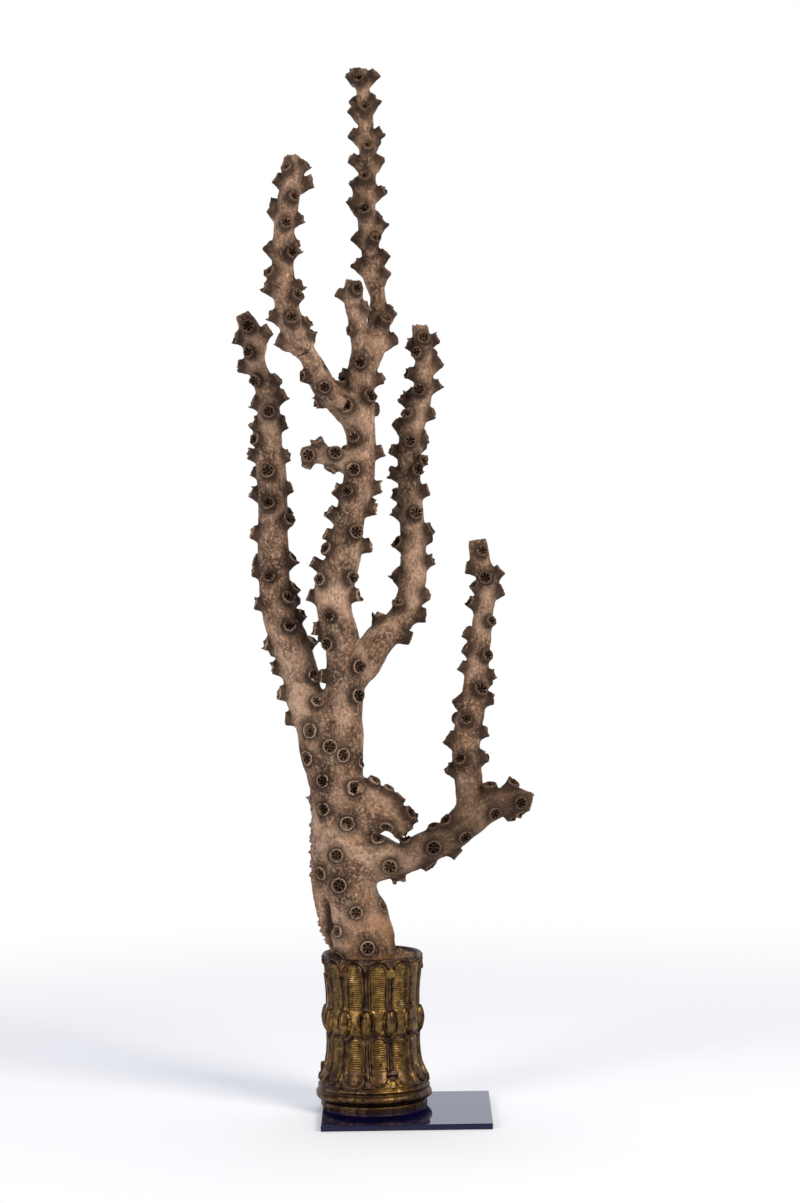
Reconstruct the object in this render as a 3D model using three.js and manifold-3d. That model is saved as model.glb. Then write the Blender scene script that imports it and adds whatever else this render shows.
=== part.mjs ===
// A cup coral (a tree-like stony coral with trumpet cups) standing in a fluted gilt-bronze
// ferrule on a small square plate of dark blue acrylic. The colony is split at its main
// forks, so every branch is a solid of its own.
//
// Millimetres, +Z up. The origin is the middle of the plate's underside; +X runs to the
// right of the front and -Y points out of the front.

import * as THREE from "three";
import { mergeVertices } from "three/addons/utils/BufferGeometryUtils.js";
import Module from "manifold-3d";

const wasm = await Module();
wasm.setup();

// ---------------------------------------------------------------- driving dimensions
const GAP = 0.3; // left between pieces that touch

const PLATE = { side: 100, thick: 3.5, corner: 1.2, bevel: 0.35 };

const AXIS = { x: -19.3, y: 18.5 }; // where the ferrule stands on the plate
const BORE = 25; // inside radius of the ferrule
const RIM = { height: 90, bore: 26.9, flare: 6 }; // the bore opens over the last flare mm
const FACETS = 24; // sides of the turned solids
const FIRST_PANEL = -82.5; // azimuth of the panel nearest the front, degrees
const PANELS = { count: 12, width: 8.6, depth: 0.9 };
const LOW_FIELD = { from: 15.5, to: 43, wall: 28.2, arched: false };
const HIGH_FIELD = { from: 60, to: 86, wall: 27.6, arched: true };
// Outside of the ferrule, from its foot to its rim: [height over the plate, radius]
const FERRULE_SHAPE = [
  [0, 31.7], [3.2, 31.3], [5, 33.9], [7.6, 34.1], [10, 32], [12, 33.1], [14.5, 32.4],
  [25.5, 28.1], [37.5, 26.9], [43.5, 27.4], [47, 30], [55, 30.1], [60, 27.2], [RIM.height, 29.5],
];
const DRILL = { from: 20, to: 40 }; // cutters run between these distances from the axis

// A screw: its shank starts clear of the bore, and its head has an eased edge and a slot.
const SCREW = { height: 21, wall: 30.2, start: 25.4, shank: 3.4, head: 6.4, rise: 1.6, slot: 1, deep: 0.9 };
const EASED = { in: 0.9, down: 0.5 };
const SCREW_TURNS = [-69, 51, 171];
const PLUG = { height: 81, wall: 28.7, across: 6.2, sunk: 1.1, long: 2.2 };
const PLUG_TURNS = [-66, 54, 174];

const FILLER = { foot: 30, top: 79 }; // heights over the plate

// A branch: facets round it, distance between its rings, and the length and the width (as a
// share) of its broken tip.
const TUBE = { sides: 7, step: 14, tip: 3, blunt: 0.66 };
// A cup: its base lies at this share of the branch's radius and it leans this much to the tip.
const CUP = { sides: 5, mouth: 3.8, foot: 3.3, sunk: 3, reach: 3.2, base: 0.92, lean: 0.45 };

// ---------------------------------------------------------------- the colony
// path: [x, y, z, radius, depth share] along a branch, from its root to its tip; depth share
// is its depth from front to back against its width, 1 if left out.
// cups: [distance along the path, turn round it, reach]; a turn of 0 faces the front and
// 90 the right of an upward branch. reach is how far a cup stands out, CUP.reach if left out.
const COLONY = {
  coral_trunk: {
    colour: 0x8e6d55,
    path: [
      [-23, 18, 36, 13], [-23, 18, 62, 15], [-24, 18, 80, 16.5], [-24, 18, 95, 18], [-29, 17, 114, 19.6],
      [-34, 16, 128, 18.6], [-35, 15, 145, 19.4], [-37, 14, 165, 17.5], [-38, 13, 186, 16.6, 0.95],
      [-40, 13, 200, 16, 0.9], [-42, 13, 215, 18.4, 0.8], [-42, 13, 225, 19, 0.74], [-42, 13, 233, 16, 0.7],
    ],
    cups: [[57, -55], [60, 90], [60, 150], [104, -10], [152, -85], [172, 78], [180, -50], [182, 195]],
  },
  coral_left_branch: {
    colour: 0x88674f,
    path: [
      [-46, 13, 221, 13], [-56, 14, 244, 10.7], [-60, 17, 262, 10.4], [-66, 20, 280, 11],
      [-71, 22, 297, 10.1],
      [-74, 24, 321, 9.2], [-74, 25, 347, 8.6], [-75, 26, 377, 8.6], [-76, 25, 399, 7.7],
      [-75, 24, 416, 6.5],
      [-77, 22, 430, 6.2], [-83, 20, 446, 5.8], [-83, 19, 456, 7.1], [-86, 18, 465, 6.9], [-88, 17, 473, 6],
    ],
    cups: [
      [20, -88], [22, 30], [45, 165], [50, -88], [58, 78], [70, 20], [88, -80], [93, 85], [128, -88],
      [134, 50], [150, 165], [153, 88], [175, -88], [193, 88], [200, 0], [230, -88],
    ],
  },
  coral_centre_stem: {
    colour: 0x846550,
    path: [
      [-38, 12, 226, 14], [-34, 10, 246, 11.4], [-32, 7, 267, 11.5], [-36, 4, 288, 10.2],
      [-39, 2, 304, 10.6],
      [-37, 1, 317, 11.2], [-32, 1, 331, 9.7], [-28, 2, 354, 8.5], [-23, 3, 375, 9.1], [-21, 4, 396, 8],
      [-22, 5, 411, 8.8], [-21, 5, 427, 8.2], [-19, 5, 443, 8.2],
    ],
    cups: [
      [26, 38], [35, -70], [45, 170], [66, -88], [86, 80], [92, -40], [98, -85, 6], [116, 88, 6],
      [144, -85], [144, -25], [156, 170], [170, 88], [213, 88], [214, -88], [222, -10],
    ],
  },
  coral_shoulder_lobe: {
    colour: 0x8f6c52,
    path: [
      [-34, 9, 186, 16, 0.7], [-23, 3, 183, 16.5, 0.6], [-13, -1, 180, 13.5, 0.5], [-5, -3, 177, 9.4, 0.5],
      [0, -4, 170, 6.5, 0.6],
    ],
    cups: [[20, -70], [24, -15], [26, 85]],
  },
  coral_low_limb: {
    colour: 0x94705a,
    path: [
      [-31, 12, 149, 16], [-17, 6, 152, 15, 0.8], [-9, 2.5, 151.5, 11.6], [-1, 0, 151.5, 9.2],
      [10, -4, 157.5, 9.2], [27, -7, 166, 9.4], [36, -9, 174, 10], [44, -10, 180, 10],
    ],
    cups: [[29, 15], [30, 88, 4], [30, 180], [60, -80], [64, 88, 5], [73, -55]],
  },
  coral_upright_limb: {
    colour: 0x86664f,
    path: [
      [42, -8, 183, 9], [40, -6, 194, 8.2], [38, -2, 213, 7.9], [40, 3, 232, 7.7], [44, 8, 252, 7.4],
      [47, 12, 274, 6.2], [50, 15, 296, 5.7], [52, 17, 315, 5.9], [48, 18, 327, 5.6], [47, 18, 336, 5.6],
    ],
    cups: [
      [23, -85], [27, -20], [28, 85], [40, 170], [62, -85], [66, 85], [111, 35], [120, -75], [129, 88],
      [146, -88, 5],
    ],
  },
  coral_limb_end_stub: {
    colour: 0x9a7b5f,
    path: [[46, -10, 181, 9], [59, -14, 187, 7.8], [67, -16, 188, 7], [73, -17, 187, 5.4]],
    cups: [[10, 30], [11, -85, 5], [18, 88, 4], [18, 180]],
  },
  coral_right_branch: {
    colour: 0x82634e,
    path: [
      [-30, 12, 257, 9.5], [-20, 18, 269, 10.5], [-12, 23, 280, 8.9], [-4, 27, 287, 8.3], [3, 30, 296, 8],
      [8, 32, 313, 8], [9, 34, 335, 7.3], [8, 35, 356, 7], [7, 34, 380, 6.7], [8, 33, 399, 6.7],
      [12, 32, 415, 6.5], [16, 30, 429, 5.9], [17, 28, 446, 5.6], [15, 26, 463, 5],
    ],
    cups: [
      [37, -80], [42, 70], [54, -30], [60, 175], [76, -88], [102, 88], [115, -88], [127, 88], [138, 30],
      [160, 88], [164, -88], [168, 165], [191, 88], [197, -88], [211, -30], [217, 88],
    ],
  },
  coral_side_stub: {
    colour: 0x7d5f4b,
    path: [[-22, 2, 383, 7.4], [-30, -6, 387, 6.6], [-41, -13, 391, 5.4], [-53, -18, 392, 4.6]],
    cups: [[20, -80], [24, 25], [30, 180], [31, 85]],
  },
  coral_upper_left_root: {
    colour: 0x81624d,
    path: [
      [-22, 4, 408, 7.6], [-34, -3, 422, 7.3], [-41, -7, 429, 7], [-45, -10, 438, 6.3],
      [-51, -13, 449, 5.6],
    ],
    cups: [[27, -88], [34, 5], [38, 170]],
  },
  coral_upper_left_end: {
    colour: 0x7f614c,
    path: [
      [-51, -13, 448, 5.4], [-57, -14, 458, 7.4], [-61, -16, 470, 7], [-63, -17, 482, 7.2],
      [-65, -18, 498, 6.4],
      [-64, -20, 516, 6], [-62, -21, 532, 6.2], [-58, -22, 551, 5.9], [-58, -22, 562, 4.8],
    ],
    cups: [
      [8, 85], [12, -85], [23, 10], [30, 170, 4], [40, 88, 4], [42, -88, 5], [94, 15], [102, 85, 6],
      [103, -88, 5],
    ],
  },
  coral_front_stub: {
    colour: 0x886852,
    path: [[-19, 4, 446, 6.6], [-21, 1, 462, 5.4], [-24, -2, 480, 5.3], [-24, -3, 490, 5.2]],
    cups: [[19, -55], [26, 180], [30, 75], [38, -80, 5]],
  },
  coral_top_branch: {
    colour: 0x765948,
    path: [
      [-18, 7, 444, 7], [-10, 14, 459, 6.2], [-9, 18, 472, 5.3], [-10, 19, 483, 4.6], [-13, 20, 495, 5.6],
      [-14, 22, 513, 5], [-16, 24, 531, 5.6], [-15, 26, 552, 5.3], [-15, 27, 569, 4.4], [-16, 28, 588, 4.1],
      [-17, 28, 605, 3.9], [-18, 28, 615, 4.4],
    ],
    cups: [
      [16, 88], [24, 25], [50, 175], [52, 80], [60, -88, 5], [74, 25], [83, 88, 5], [96, -85, 6],
      [122, -85, 7], [122, 88, 5], [142, 170], [151, 10], [152, -85, 4], [156, 85],
    ],
  },
};

// ---------------------------------------------------------------- solids
// A closed three.js geometry as a manifold-3d solid.
function solid(geometry) {
  const bare = geometry.index ? geometry.toNonIndexed() : geometry;
  bare.deleteAttribute("normal");
  bare.deleteAttribute("uv");
  const merged = mergeVertices(bare, 1e-4);
  return new wasm.Manifold(
    new wasm.Mesh({
      numProp: 3,
      vertProperties: merged.attributes.position.array,
      triVerts: new Uint32Array(merged.index.array),
    }),
  );
}

// A manifold-3d solid as a named mesh; crumbs cut off by a neighbour are dropped.
function mesh(name, shape, material) {
  const bodies = shape.decompose().sort((a, b) => b.volume() - a.volume());
  const made = bodies[0].getMesh();
  const geometry = new THREE.BufferGeometry();
  geometry.setAttribute("position", new THREE.BufferAttribute(made.vertProperties, 3));
  geometry.setIndex(new THREE.BufferAttribute(made.triVerts, 1));
  geometry.computeVertexNormals();
  const result = new THREE.Mesh(geometry, material);
  result.name = name;
  return result;
}

const radians = THREE.MathUtils.degToRad;
const gilt = new THREE.MeshStandardMaterial({ color: 0xa67c3a, roughness: 0.4, metalness: 1 });

// ---------------------------------------------------------------- coral
// The run of a branch: its length, and its size and its own axes at a share of the length.
function run(path) {
  const curve = new THREE.CatmullRomCurve3(path.map(([x, y, z]) => new THREE.Vector3(x, y, z)));
  curve.arcLengthDivisions = 400;
  const length = curve.getLength();
  const sizeAt = (share) => {
    const t = curve.getUtoTmapping(share) * (path.length - 1);
    const i = Math.min(Math.floor(t), path.length - 2);
    const [radius, deep] = [([, , , r]) => r, ([, , , r, part = 1]) => r * part].map((size) =>
      THREE.MathUtils.lerp(size(path[i]), size(path[i + 1]), t - i),
    );
    return { radius, deep };
  };
  // ahead runs along the branch, front is the level-most way out of its front
  const axesAt = (share) => {
    const ahead = curve.getTangentAt(share);
    const front = new THREE.Vector3(0, -1, 0).addScaledVector(ahead, ahead.y).normalize();
    const side = new THREE.Vector3().crossVectors(ahead, front);
    return { ahead, front, side, at: curve.getPointAt(share) };
  };
  return { length, sizeAt, axesAt };
}

// A branch without its cups: a cylinder bent along the run, with a rounded tip.
function limb(line, grow) {
  const rings = Math.ceil(line.length / TUBE.step);
  const shape = new THREE.CylinderGeometry(1, 1, 1, TUBE.sides, rings + 1);
  const spots = shape.attributes.position;
  for (let i = 0; i < spots.count; i++) {
    const ring = Math.round((spots.getY(i) + 0.5) * (rings + 1));
    const tip = ring === rings + 1;
    const share = tip ? 1 : (Math.min(ring, rings) / rings) * (1 - TUBE.tip / line.length);
    const { at, front, side, ahead } = line.axesAt(share);
    const { radius, deep } = line.sizeAt(share);
    const width = tip ? TUBE.blunt : 1;
    at.addScaledVector(side, spots.getX(i) * (radius * width + grow));
    at.addScaledVector(front, spots.getZ(i) * (deep * width + grow));
    if (tip) at.addScaledVector(ahead, grow);
    spots.setXYZ(i, at.x, at.y, at.z);
  }
  return solid(shape);
}

// A cup: a small faceted trumpet, sunk into the branch that bears it.
function cup(line, [along, turn, reach = CUP.reach], grow) {
  const share = Math.min(along / line.length, 1);
  const { at, front, side, ahead } = line.axesAt(share);
  const { radius, deep } = line.sizeAt(share);
  const out = front.multiplyScalar(Math.cos(radians(turn)) * deep);
  out.addScaledVector(side, Math.sin(radians(turn)) * radius);
  const axis = out.clone().normalize().addScaledVector(ahead, CUP.lean).normalize();
  const profile = [
    [0, -CUP.sunk], [CUP.foot + grow, -CUP.sunk], [CUP.mouth + grow, reach + grow], [0, reach + grow],
  ];
  const shape = new THREE.LatheGeometry(profile.map(([r, h]) => new THREE.Vector2(r, h)), CUP.sides);
  const turnTo = new THREE.Quaternion().setFromUnitVectors(new THREE.Vector3(0, 1, 0), axis);
  const base = at.addScaledVector(out, CUP.base);
  shape.applyQuaternion(turnTo).translate(base.x, base.y, base.z);
  return solid(shape);
}

// A whole branch with its cups, every face moved out by grow.
function branch({ path, cups }, grow) {
  const line = run(path);
  return wasm.Manifold.union([limb(line, grow), ...cups.map((place) => cup(line, place, grow))]);
}

// ---------------------------------------------------------------- plate, ferrule and fittings
function plate() {
  const { side, thick, corner, bevel } = PLATE;
  const half = side / 2 - bevel;
  const outline = new THREE.Shape();
  outline.moveTo(-half + corner, -half);
  outline.lineTo(half - corner, -half).absarc(half - corner, -half + corner, corner, -Math.PI / 2, 0);
  outline.lineTo(half, half - corner).absarc(half - corner, half - corner, corner, 0, Math.PI / 2);
  outline.lineTo(-half + corner, half).absarc(-half + corner, half - corner, corner, Math.PI / 2, Math.PI);
  outline.lineTo(-half, -half + corner);
  outline.absarc(-half + corner, -half + corner, corner, Math.PI, 1.5 * Math.PI);
  const shape = new THREE.ExtrudeGeometry(outline, {
    depth: thick - 2 * bevel, bevelThickness: bevel, bevelSize: bevel, bevelSegments: 1, curveSegments: 2,
  });
  return solid(shape.translate(0, 0, bevel));
}

// A turned solid from [height over the plate, radius] rows, standing on the ferrule's axis,
// with a corner in the middle of each panel.
function turned(rows) {
  const shape = new THREE.LatheGeometry(rows.map(([h, r]) => new THREE.Vector2(r, h)), FACETS);
  shape.rotateX(Math.PI / 2).rotateZ(radians(FIRST_PANEL + 90));
  shape.translate(AXIS.x, AXIS.y, PLATE.thick + GAP);
  return solid(shape);
}

// A turned solid that points out of the ferrule's wall, from [distance from its axis, radius] rows.
function radial(rows, height, turn, sides = 10) {
  const shape = new THREE.LatheGeometry(rows.map(([out, r]) => new THREE.Vector2(r, out)), sides);
  shape.rotateZ(-Math.PI / 2).rotateZ(radians(turn));
  shape.translate(AXIS.x, AXIS.y, PLATE.thick + GAP + height);
  return solid(shape);
}

const pin = (from, to, radius, height, turn) =>
  radial([[from, 0], [from, radius], [to, radius], [to, 0]], height, turn);

// One sunk panel field: an arched outline pushed into the wall from outside.
function field({ from, to, wall, arched }, azimuth) {
  const half = PANELS.width / 2;
  const outline = new THREE.Shape();
  outline.moveTo(-half, from).lineTo(half, from).lineTo(half, to - (arched ? half : 0));
  if (arched) outline.absarc(0, to - half, half, 0, Math.PI);
  else outline.lineTo(-half, to);
  const depth = DRILL.to - wall;
  const shape = new THREE.ExtrudeGeometry(outline, { depth, bevelEnabled: false, curveSegments: 2 });
  shape.rotateX(Math.PI / 2).rotateZ(Math.PI / 2).translate(wall - PANELS.depth, 0, 0);
  shape.rotateZ(radians(azimuth)).translate(AXIS.x, AXIS.y, PLATE.thick + GAP);
  return solid(shape);
}

function ferrule() {
  const inside = [[RIM.height, RIM.bore], [RIM.height - RIM.flare, BORE], [0, BORE]];
  const rows = [...FERRULE_SHAPE, ...inside, FERRULE_SHAPE[0]];
  const cuts = [];
  for (let i = 0; i < PANELS.count; i++) {
    const azimuth = FIRST_PANEL + (360 * i) / PANELS.count;
    cuts.push(field(HIGH_FIELD, azimuth), field(LOW_FIELD, azimuth));
  }
  for (const turn of SCREW_TURNS) {
    cuts.push(pin(DRILL.from, DRILL.to, SCREW.shank / 2 + GAP, SCREW.height, turn));
    cuts.push(pin(SCREW.wall, DRILL.to, SCREW.head / 2 + GAP, SCREW.height, turn)); // its seat
  }
  for (const turn of PLUG_TURNS)
    cuts.push(pin(DRILL.from, DRILL.to, PLUG.across / 2 + GAP, PLUG.height, turn));
  return turned(rows).subtract(wasm.Manifold.union(cuts));
}

function screw(turn) {
  const { height, wall, start, head, rise, shank, slot, deep } = SCREW;
  const top = wall + GAP + rise;
  const rows = [
    [start, 0], [start, shank / 2], [wall + GAP, shank / 2], [wall + GAP, head / 2],
    [top - EASED.down, head / 2], [top, head / 2 - EASED.in], [top, 0],
  ];
  const cut = new THREE.BoxGeometry(2 * deep, head * 1.5, slot);
  cut.translate(top, 0, 0).rotateZ(radians(turn)).translate(AXIS.x, AXIS.y, PLATE.thick + GAP + height);
  return radial(rows, height, turn).subtract(solid(cut));
}

function plug(turn) {
  const outer = PLUG.wall - PLUG.sunk;
  return pin(outer - PLUG.long, outer, PLUG.across / 2, PLUG.height, turn);
}

// The crumbly bed that holds the foot of the trunk in the ferrule's bore.
function filler(trunk) {
  const radius = BORE - GAP;
  const rows = [[FILLER.foot, 0], [FILLER.foot, radius], [FILLER.top, radius], [FILLER.top + 1, 0]];
  return turned(rows).subtract(trunk);
}

// ---------------------------------------------------------------- the group
const coral = new THREE.Group();
const grown = [];
for (const [name, spec] of Object.entries(COLONY)) {
  const shape = grown.reduce((left, older) => left.subtract(older), branch(spec, 0));
  coral.add(mesh(name, shape, new THREE.MeshStandardMaterial({ color: spec.colour, roughness: 0.9 })));
  grown.push(branch(spec, GAP));
}

const acrylic = new THREE.MeshStandardMaterial({ color: 0x12153a, roughness: 0.08, metalness: 0 });
const bed = new THREE.MeshStandardMaterial({ color: 0xa07840, roughness: 0.85, metalness: 0.2 });
const steel = new THREE.MeshStandardMaterial({ color: 0x4a4238, roughness: 0.45, metalness: 1 });
const brass = new THREE.MeshStandardMaterial({ color: 0xb08a3c, roughness: 0.4, metalness: 1 });

const holder = new THREE.Group();
holder.add(mesh("plate", plate(), acrylic));
holder.add(mesh("ferrule", ferrule(), gilt));
holder.add(mesh("filler", filler(grown[0]), bed));
SCREW_TURNS.forEach((turn, i) => holder.add(mesh(`screw_${i + 1}`, screw(turn), steel)));
PLUG_TURNS.forEach((turn, i) => holder.add(mesh(`rim_plug_${i + 1}`, plug(turn), brass)));

const staghornCoral = new THREE.Group();
staghornCoral.add(coral, holder);

export default staghornCoral;
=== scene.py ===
"""A cup coral colony in a gilt-bronze ferrule on a small plate of dark blue acrylic."""

import math

import bpy
import numpy as np
from mathutils import Matrix, Vector


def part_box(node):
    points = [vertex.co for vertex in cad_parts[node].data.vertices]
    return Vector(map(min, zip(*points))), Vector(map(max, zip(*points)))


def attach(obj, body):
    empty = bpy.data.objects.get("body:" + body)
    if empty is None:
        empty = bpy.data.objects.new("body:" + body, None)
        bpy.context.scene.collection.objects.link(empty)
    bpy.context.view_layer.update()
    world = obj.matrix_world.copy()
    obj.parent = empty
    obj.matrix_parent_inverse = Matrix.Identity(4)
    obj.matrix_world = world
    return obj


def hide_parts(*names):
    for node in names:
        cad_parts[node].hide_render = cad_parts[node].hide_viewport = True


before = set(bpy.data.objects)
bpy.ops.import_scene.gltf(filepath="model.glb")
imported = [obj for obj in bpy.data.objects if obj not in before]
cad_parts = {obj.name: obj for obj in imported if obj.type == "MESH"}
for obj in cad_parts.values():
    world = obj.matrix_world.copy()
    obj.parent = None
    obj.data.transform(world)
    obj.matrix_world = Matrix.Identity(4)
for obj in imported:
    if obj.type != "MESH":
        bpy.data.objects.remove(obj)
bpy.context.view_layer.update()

MM = 0.001  # sizes are in millimetres unless a comment says otherwise; meshes are in metres


# ---------------------------------------------------------------- studio
# A plain white sweep: a pale floor that runs out into a white background, a large soft key from
# the right, a weak fill from the left, and a dark room behind the camera, which gives the metal
# something to reflect.
def srgb(code):
    """A colour like #8a6b55 as linear red, green, blue and alpha."""
    parts = [int(code[i : i + 2], 16) / 255 for i in (1, 3, 5)]
    return (*((c / 12.92 if c <= 0.04045 else ((c + 0.055) / 1.055) ** 2.4) for c in parts), 1.0)


def add(tree, kind, inputs=None, stops=(), **settings):
    """A node with its settings; each input is a value or the socket that feeds it.

    stops are a colour ramp's (position, colour code) stops.
    """
    node = tree.nodes.new(kind)
    for key, value in settings.items():
        setattr(node, key, value)
    for key, value in (inputs or {}).items():
        if isinstance(value, bpy.types.NodeSocket):
            tree.links.new(value, node.inputs[key])
        else:
            node.inputs[key].default_value = value
    for i, (at, code) in enumerate(stops):
        spots = node.color_ramp.elements
        spot = spots[i] if i < 2 else spots.new(at)
        spot.position = at
        spot.color = srgb(code)
    return node


scene = bpy.context.scene
scene.view_settings.view_transform = "Standard"

# The camera looks level along +Y, tipped down and rolled by a few degrees; its lens is in mm.
CAMERA = {"at": (0.5, -2326, 463.6), "down": 3.92, "roll": -0.84, "lens": 178.65, "film": 36}
down = math.radians(CAMERA["down"])
roll = math.radians(CAMERA["roll"])
ahead = Vector((0, math.cos(down), -math.sin(down)))
level = Vector((1, 0, 0))
above = level.cross(ahead)
right = math.cos(roll) * level + math.sin(roll) * above
top = math.cos(roll) * above - math.sin(roll) * level
camera = bpy.data.objects.new("camera", bpy.data.cameras.new("camera"))
camera.data.lens = CAMERA["lens"]
camera.data.sensor_width = CAMERA["film"]
camera.data.sensor_fit = "HORIZONTAL"
camera.data.clip_end = 20
turn = Matrix((right, top, -ahead)).transposed().to_4x4()
camera.matrix_world = Matrix.Translation(Vector(CAMERA["at"]) * MM) @ turn
scene.collection.objects.link(camera)
scene.camera = camera


MIDDLE = Vector((0, 0, 0.3))  # the middle of the piece, where the lamps point


def softbox(name, at, size, watts, code):
    """A rectangular lamp, with its place and size in metres."""
    lamp = bpy.data.lights.new(name, "AREA")
    lamp.shape = "RECTANGLE"
    lamp.size, lamp.size_y = size
    lamp.energy = watts
    lamp.color = srgb(code)[:3]
    thing = bpy.data.objects.new(name, lamp)
    thing.location = at
    thing.rotation_euler = (MIDDLE - Vector(at)).to_track_quat("-Z", "Y").to_euler()
    scene.collection.objects.link(thing)


softbox("key", (1.25, -1.3, 1.25), (0.8, 1.0), 35, "#fff4e6")
softbox("fill", (-1.35, -1.5, 0.9), (0.8, 1.1), 21, "#fff8f2")
softbox("top", (-0.1, 0.5, 1.9), (1.0, 1.0), 10, "#ffffff")

world = bpy.data.worlds.new("white sweep")
scene.world = world
world.use_nodes = True
sky = world.node_tree
sky.nodes.clear()
facing = add(sky, "ShaderNodeTexCoord").outputs["Generated"]
depth = add(sky, "ShaderNodeSeparateXYZ", {"Vector": facing}).outputs["Y"]
room = {"Value": depth, "From Min": 0.0, "From Max": 0.9, "To Min": 0.1, "To Max": 1.1}
room = add(sky, "ShaderNodeMapRange", room).outputs["Result"]
seen = add(sky, "ShaderNodeLightPath").outputs["Is Camera Ray"]
lit = add(sky, "ShaderNodeBackground", {"Color": srgb("#eef2ff"), "Strength": room})
plain = add(sky, "ShaderNodeBackground", {"Color": srgb("#ffffff"), "Strength": 1.0})
both = add(sky, "ShaderNodeMixShader", {0: seen, 1: lit.outputs[0], 2: plain.outputs[0]})
add(sky, "ShaderNodeOutputWorld", {"Surface": both.outputs[0]})


def mesh_object(name, verts, faces):
    """A linked object from points in millimetres and faces that are rows of point numbers."""
    mesh = bpy.data.meshes.new(name)
    mesh.from_pydata((np.asarray(verts, float) * MM).tolist(), [], [list(map(int, f)) for f in faces])
    mesh.validate()
    mesh.update()
    thing = bpy.data.objects.new(name, mesh)
    scene.collection.objects.link(thing)
    return thing


FLOOR = {"side": 2500, "near": -3000, "far": 2500}
floor = mesh_object("floor", [
    (-FLOOR["side"], FLOOR["near"], 0), (FLOOR["side"], FLOOR["near"], 0),
    (FLOOR["side"], FLOOR["far"], 0), (-FLOOR["side"], FLOOR["far"], 0),
], [(0, 1, 2, 3)])
paper = bpy.data.materials.new("white sweep paper")
paper.use_nodes = True
tree = paper.node_tree
shader = tree.nodes["Principled BSDF"]
shader.inputs["Base Color"].default_value = srgb("#e5e8ed")
shader.inputs["Roughness"].default_value = 0.9
shader.inputs["Emission Color"].default_value = srgb("#f6f8ff")
shader.inputs["Emission Strength"].default_value = 0.16
place = add(tree, "ShaderNodeTexCoord").outputs["Object"]
away = add(tree, "ShaderNodeVectorMath", {0: place}, operation="LENGTH").outputs["Value"]
# The paper fades into the white background from 0.3 to 0.8 m away from the plate.
fade = {"Value": away, "From Min": 0.3, "From Max": 0.8}
fade = add(tree, "ShaderNodeMapRange", fade, interpolation_type="SMOOTHSTEP").outputs["Result"]
glow = add(tree, "ShaderNodeEmission", {"Color": srgb("#ffffff"), "Strength": 1.0})
swept = add(tree, "ShaderNodeMixShader", {0: fade, 1: shader.outputs[0], 2: glow.outputs[0]})
tree.links.new(swept.outputs[0], tree.nodes["Material Output"].inputs["Surface"])
floor.data.materials.append(paper)


# ---------------------------------------------------------------- coral colony
# The skeleton of a branching cup coral: limestone, brown and matt, grown as one. Its cups are
# small trumpets with a ring of septa in the mouth, nearly flush on the old trunk and standing
# out on the younger branches. The colony is shaped as one body, then parted at its main forks.

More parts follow.
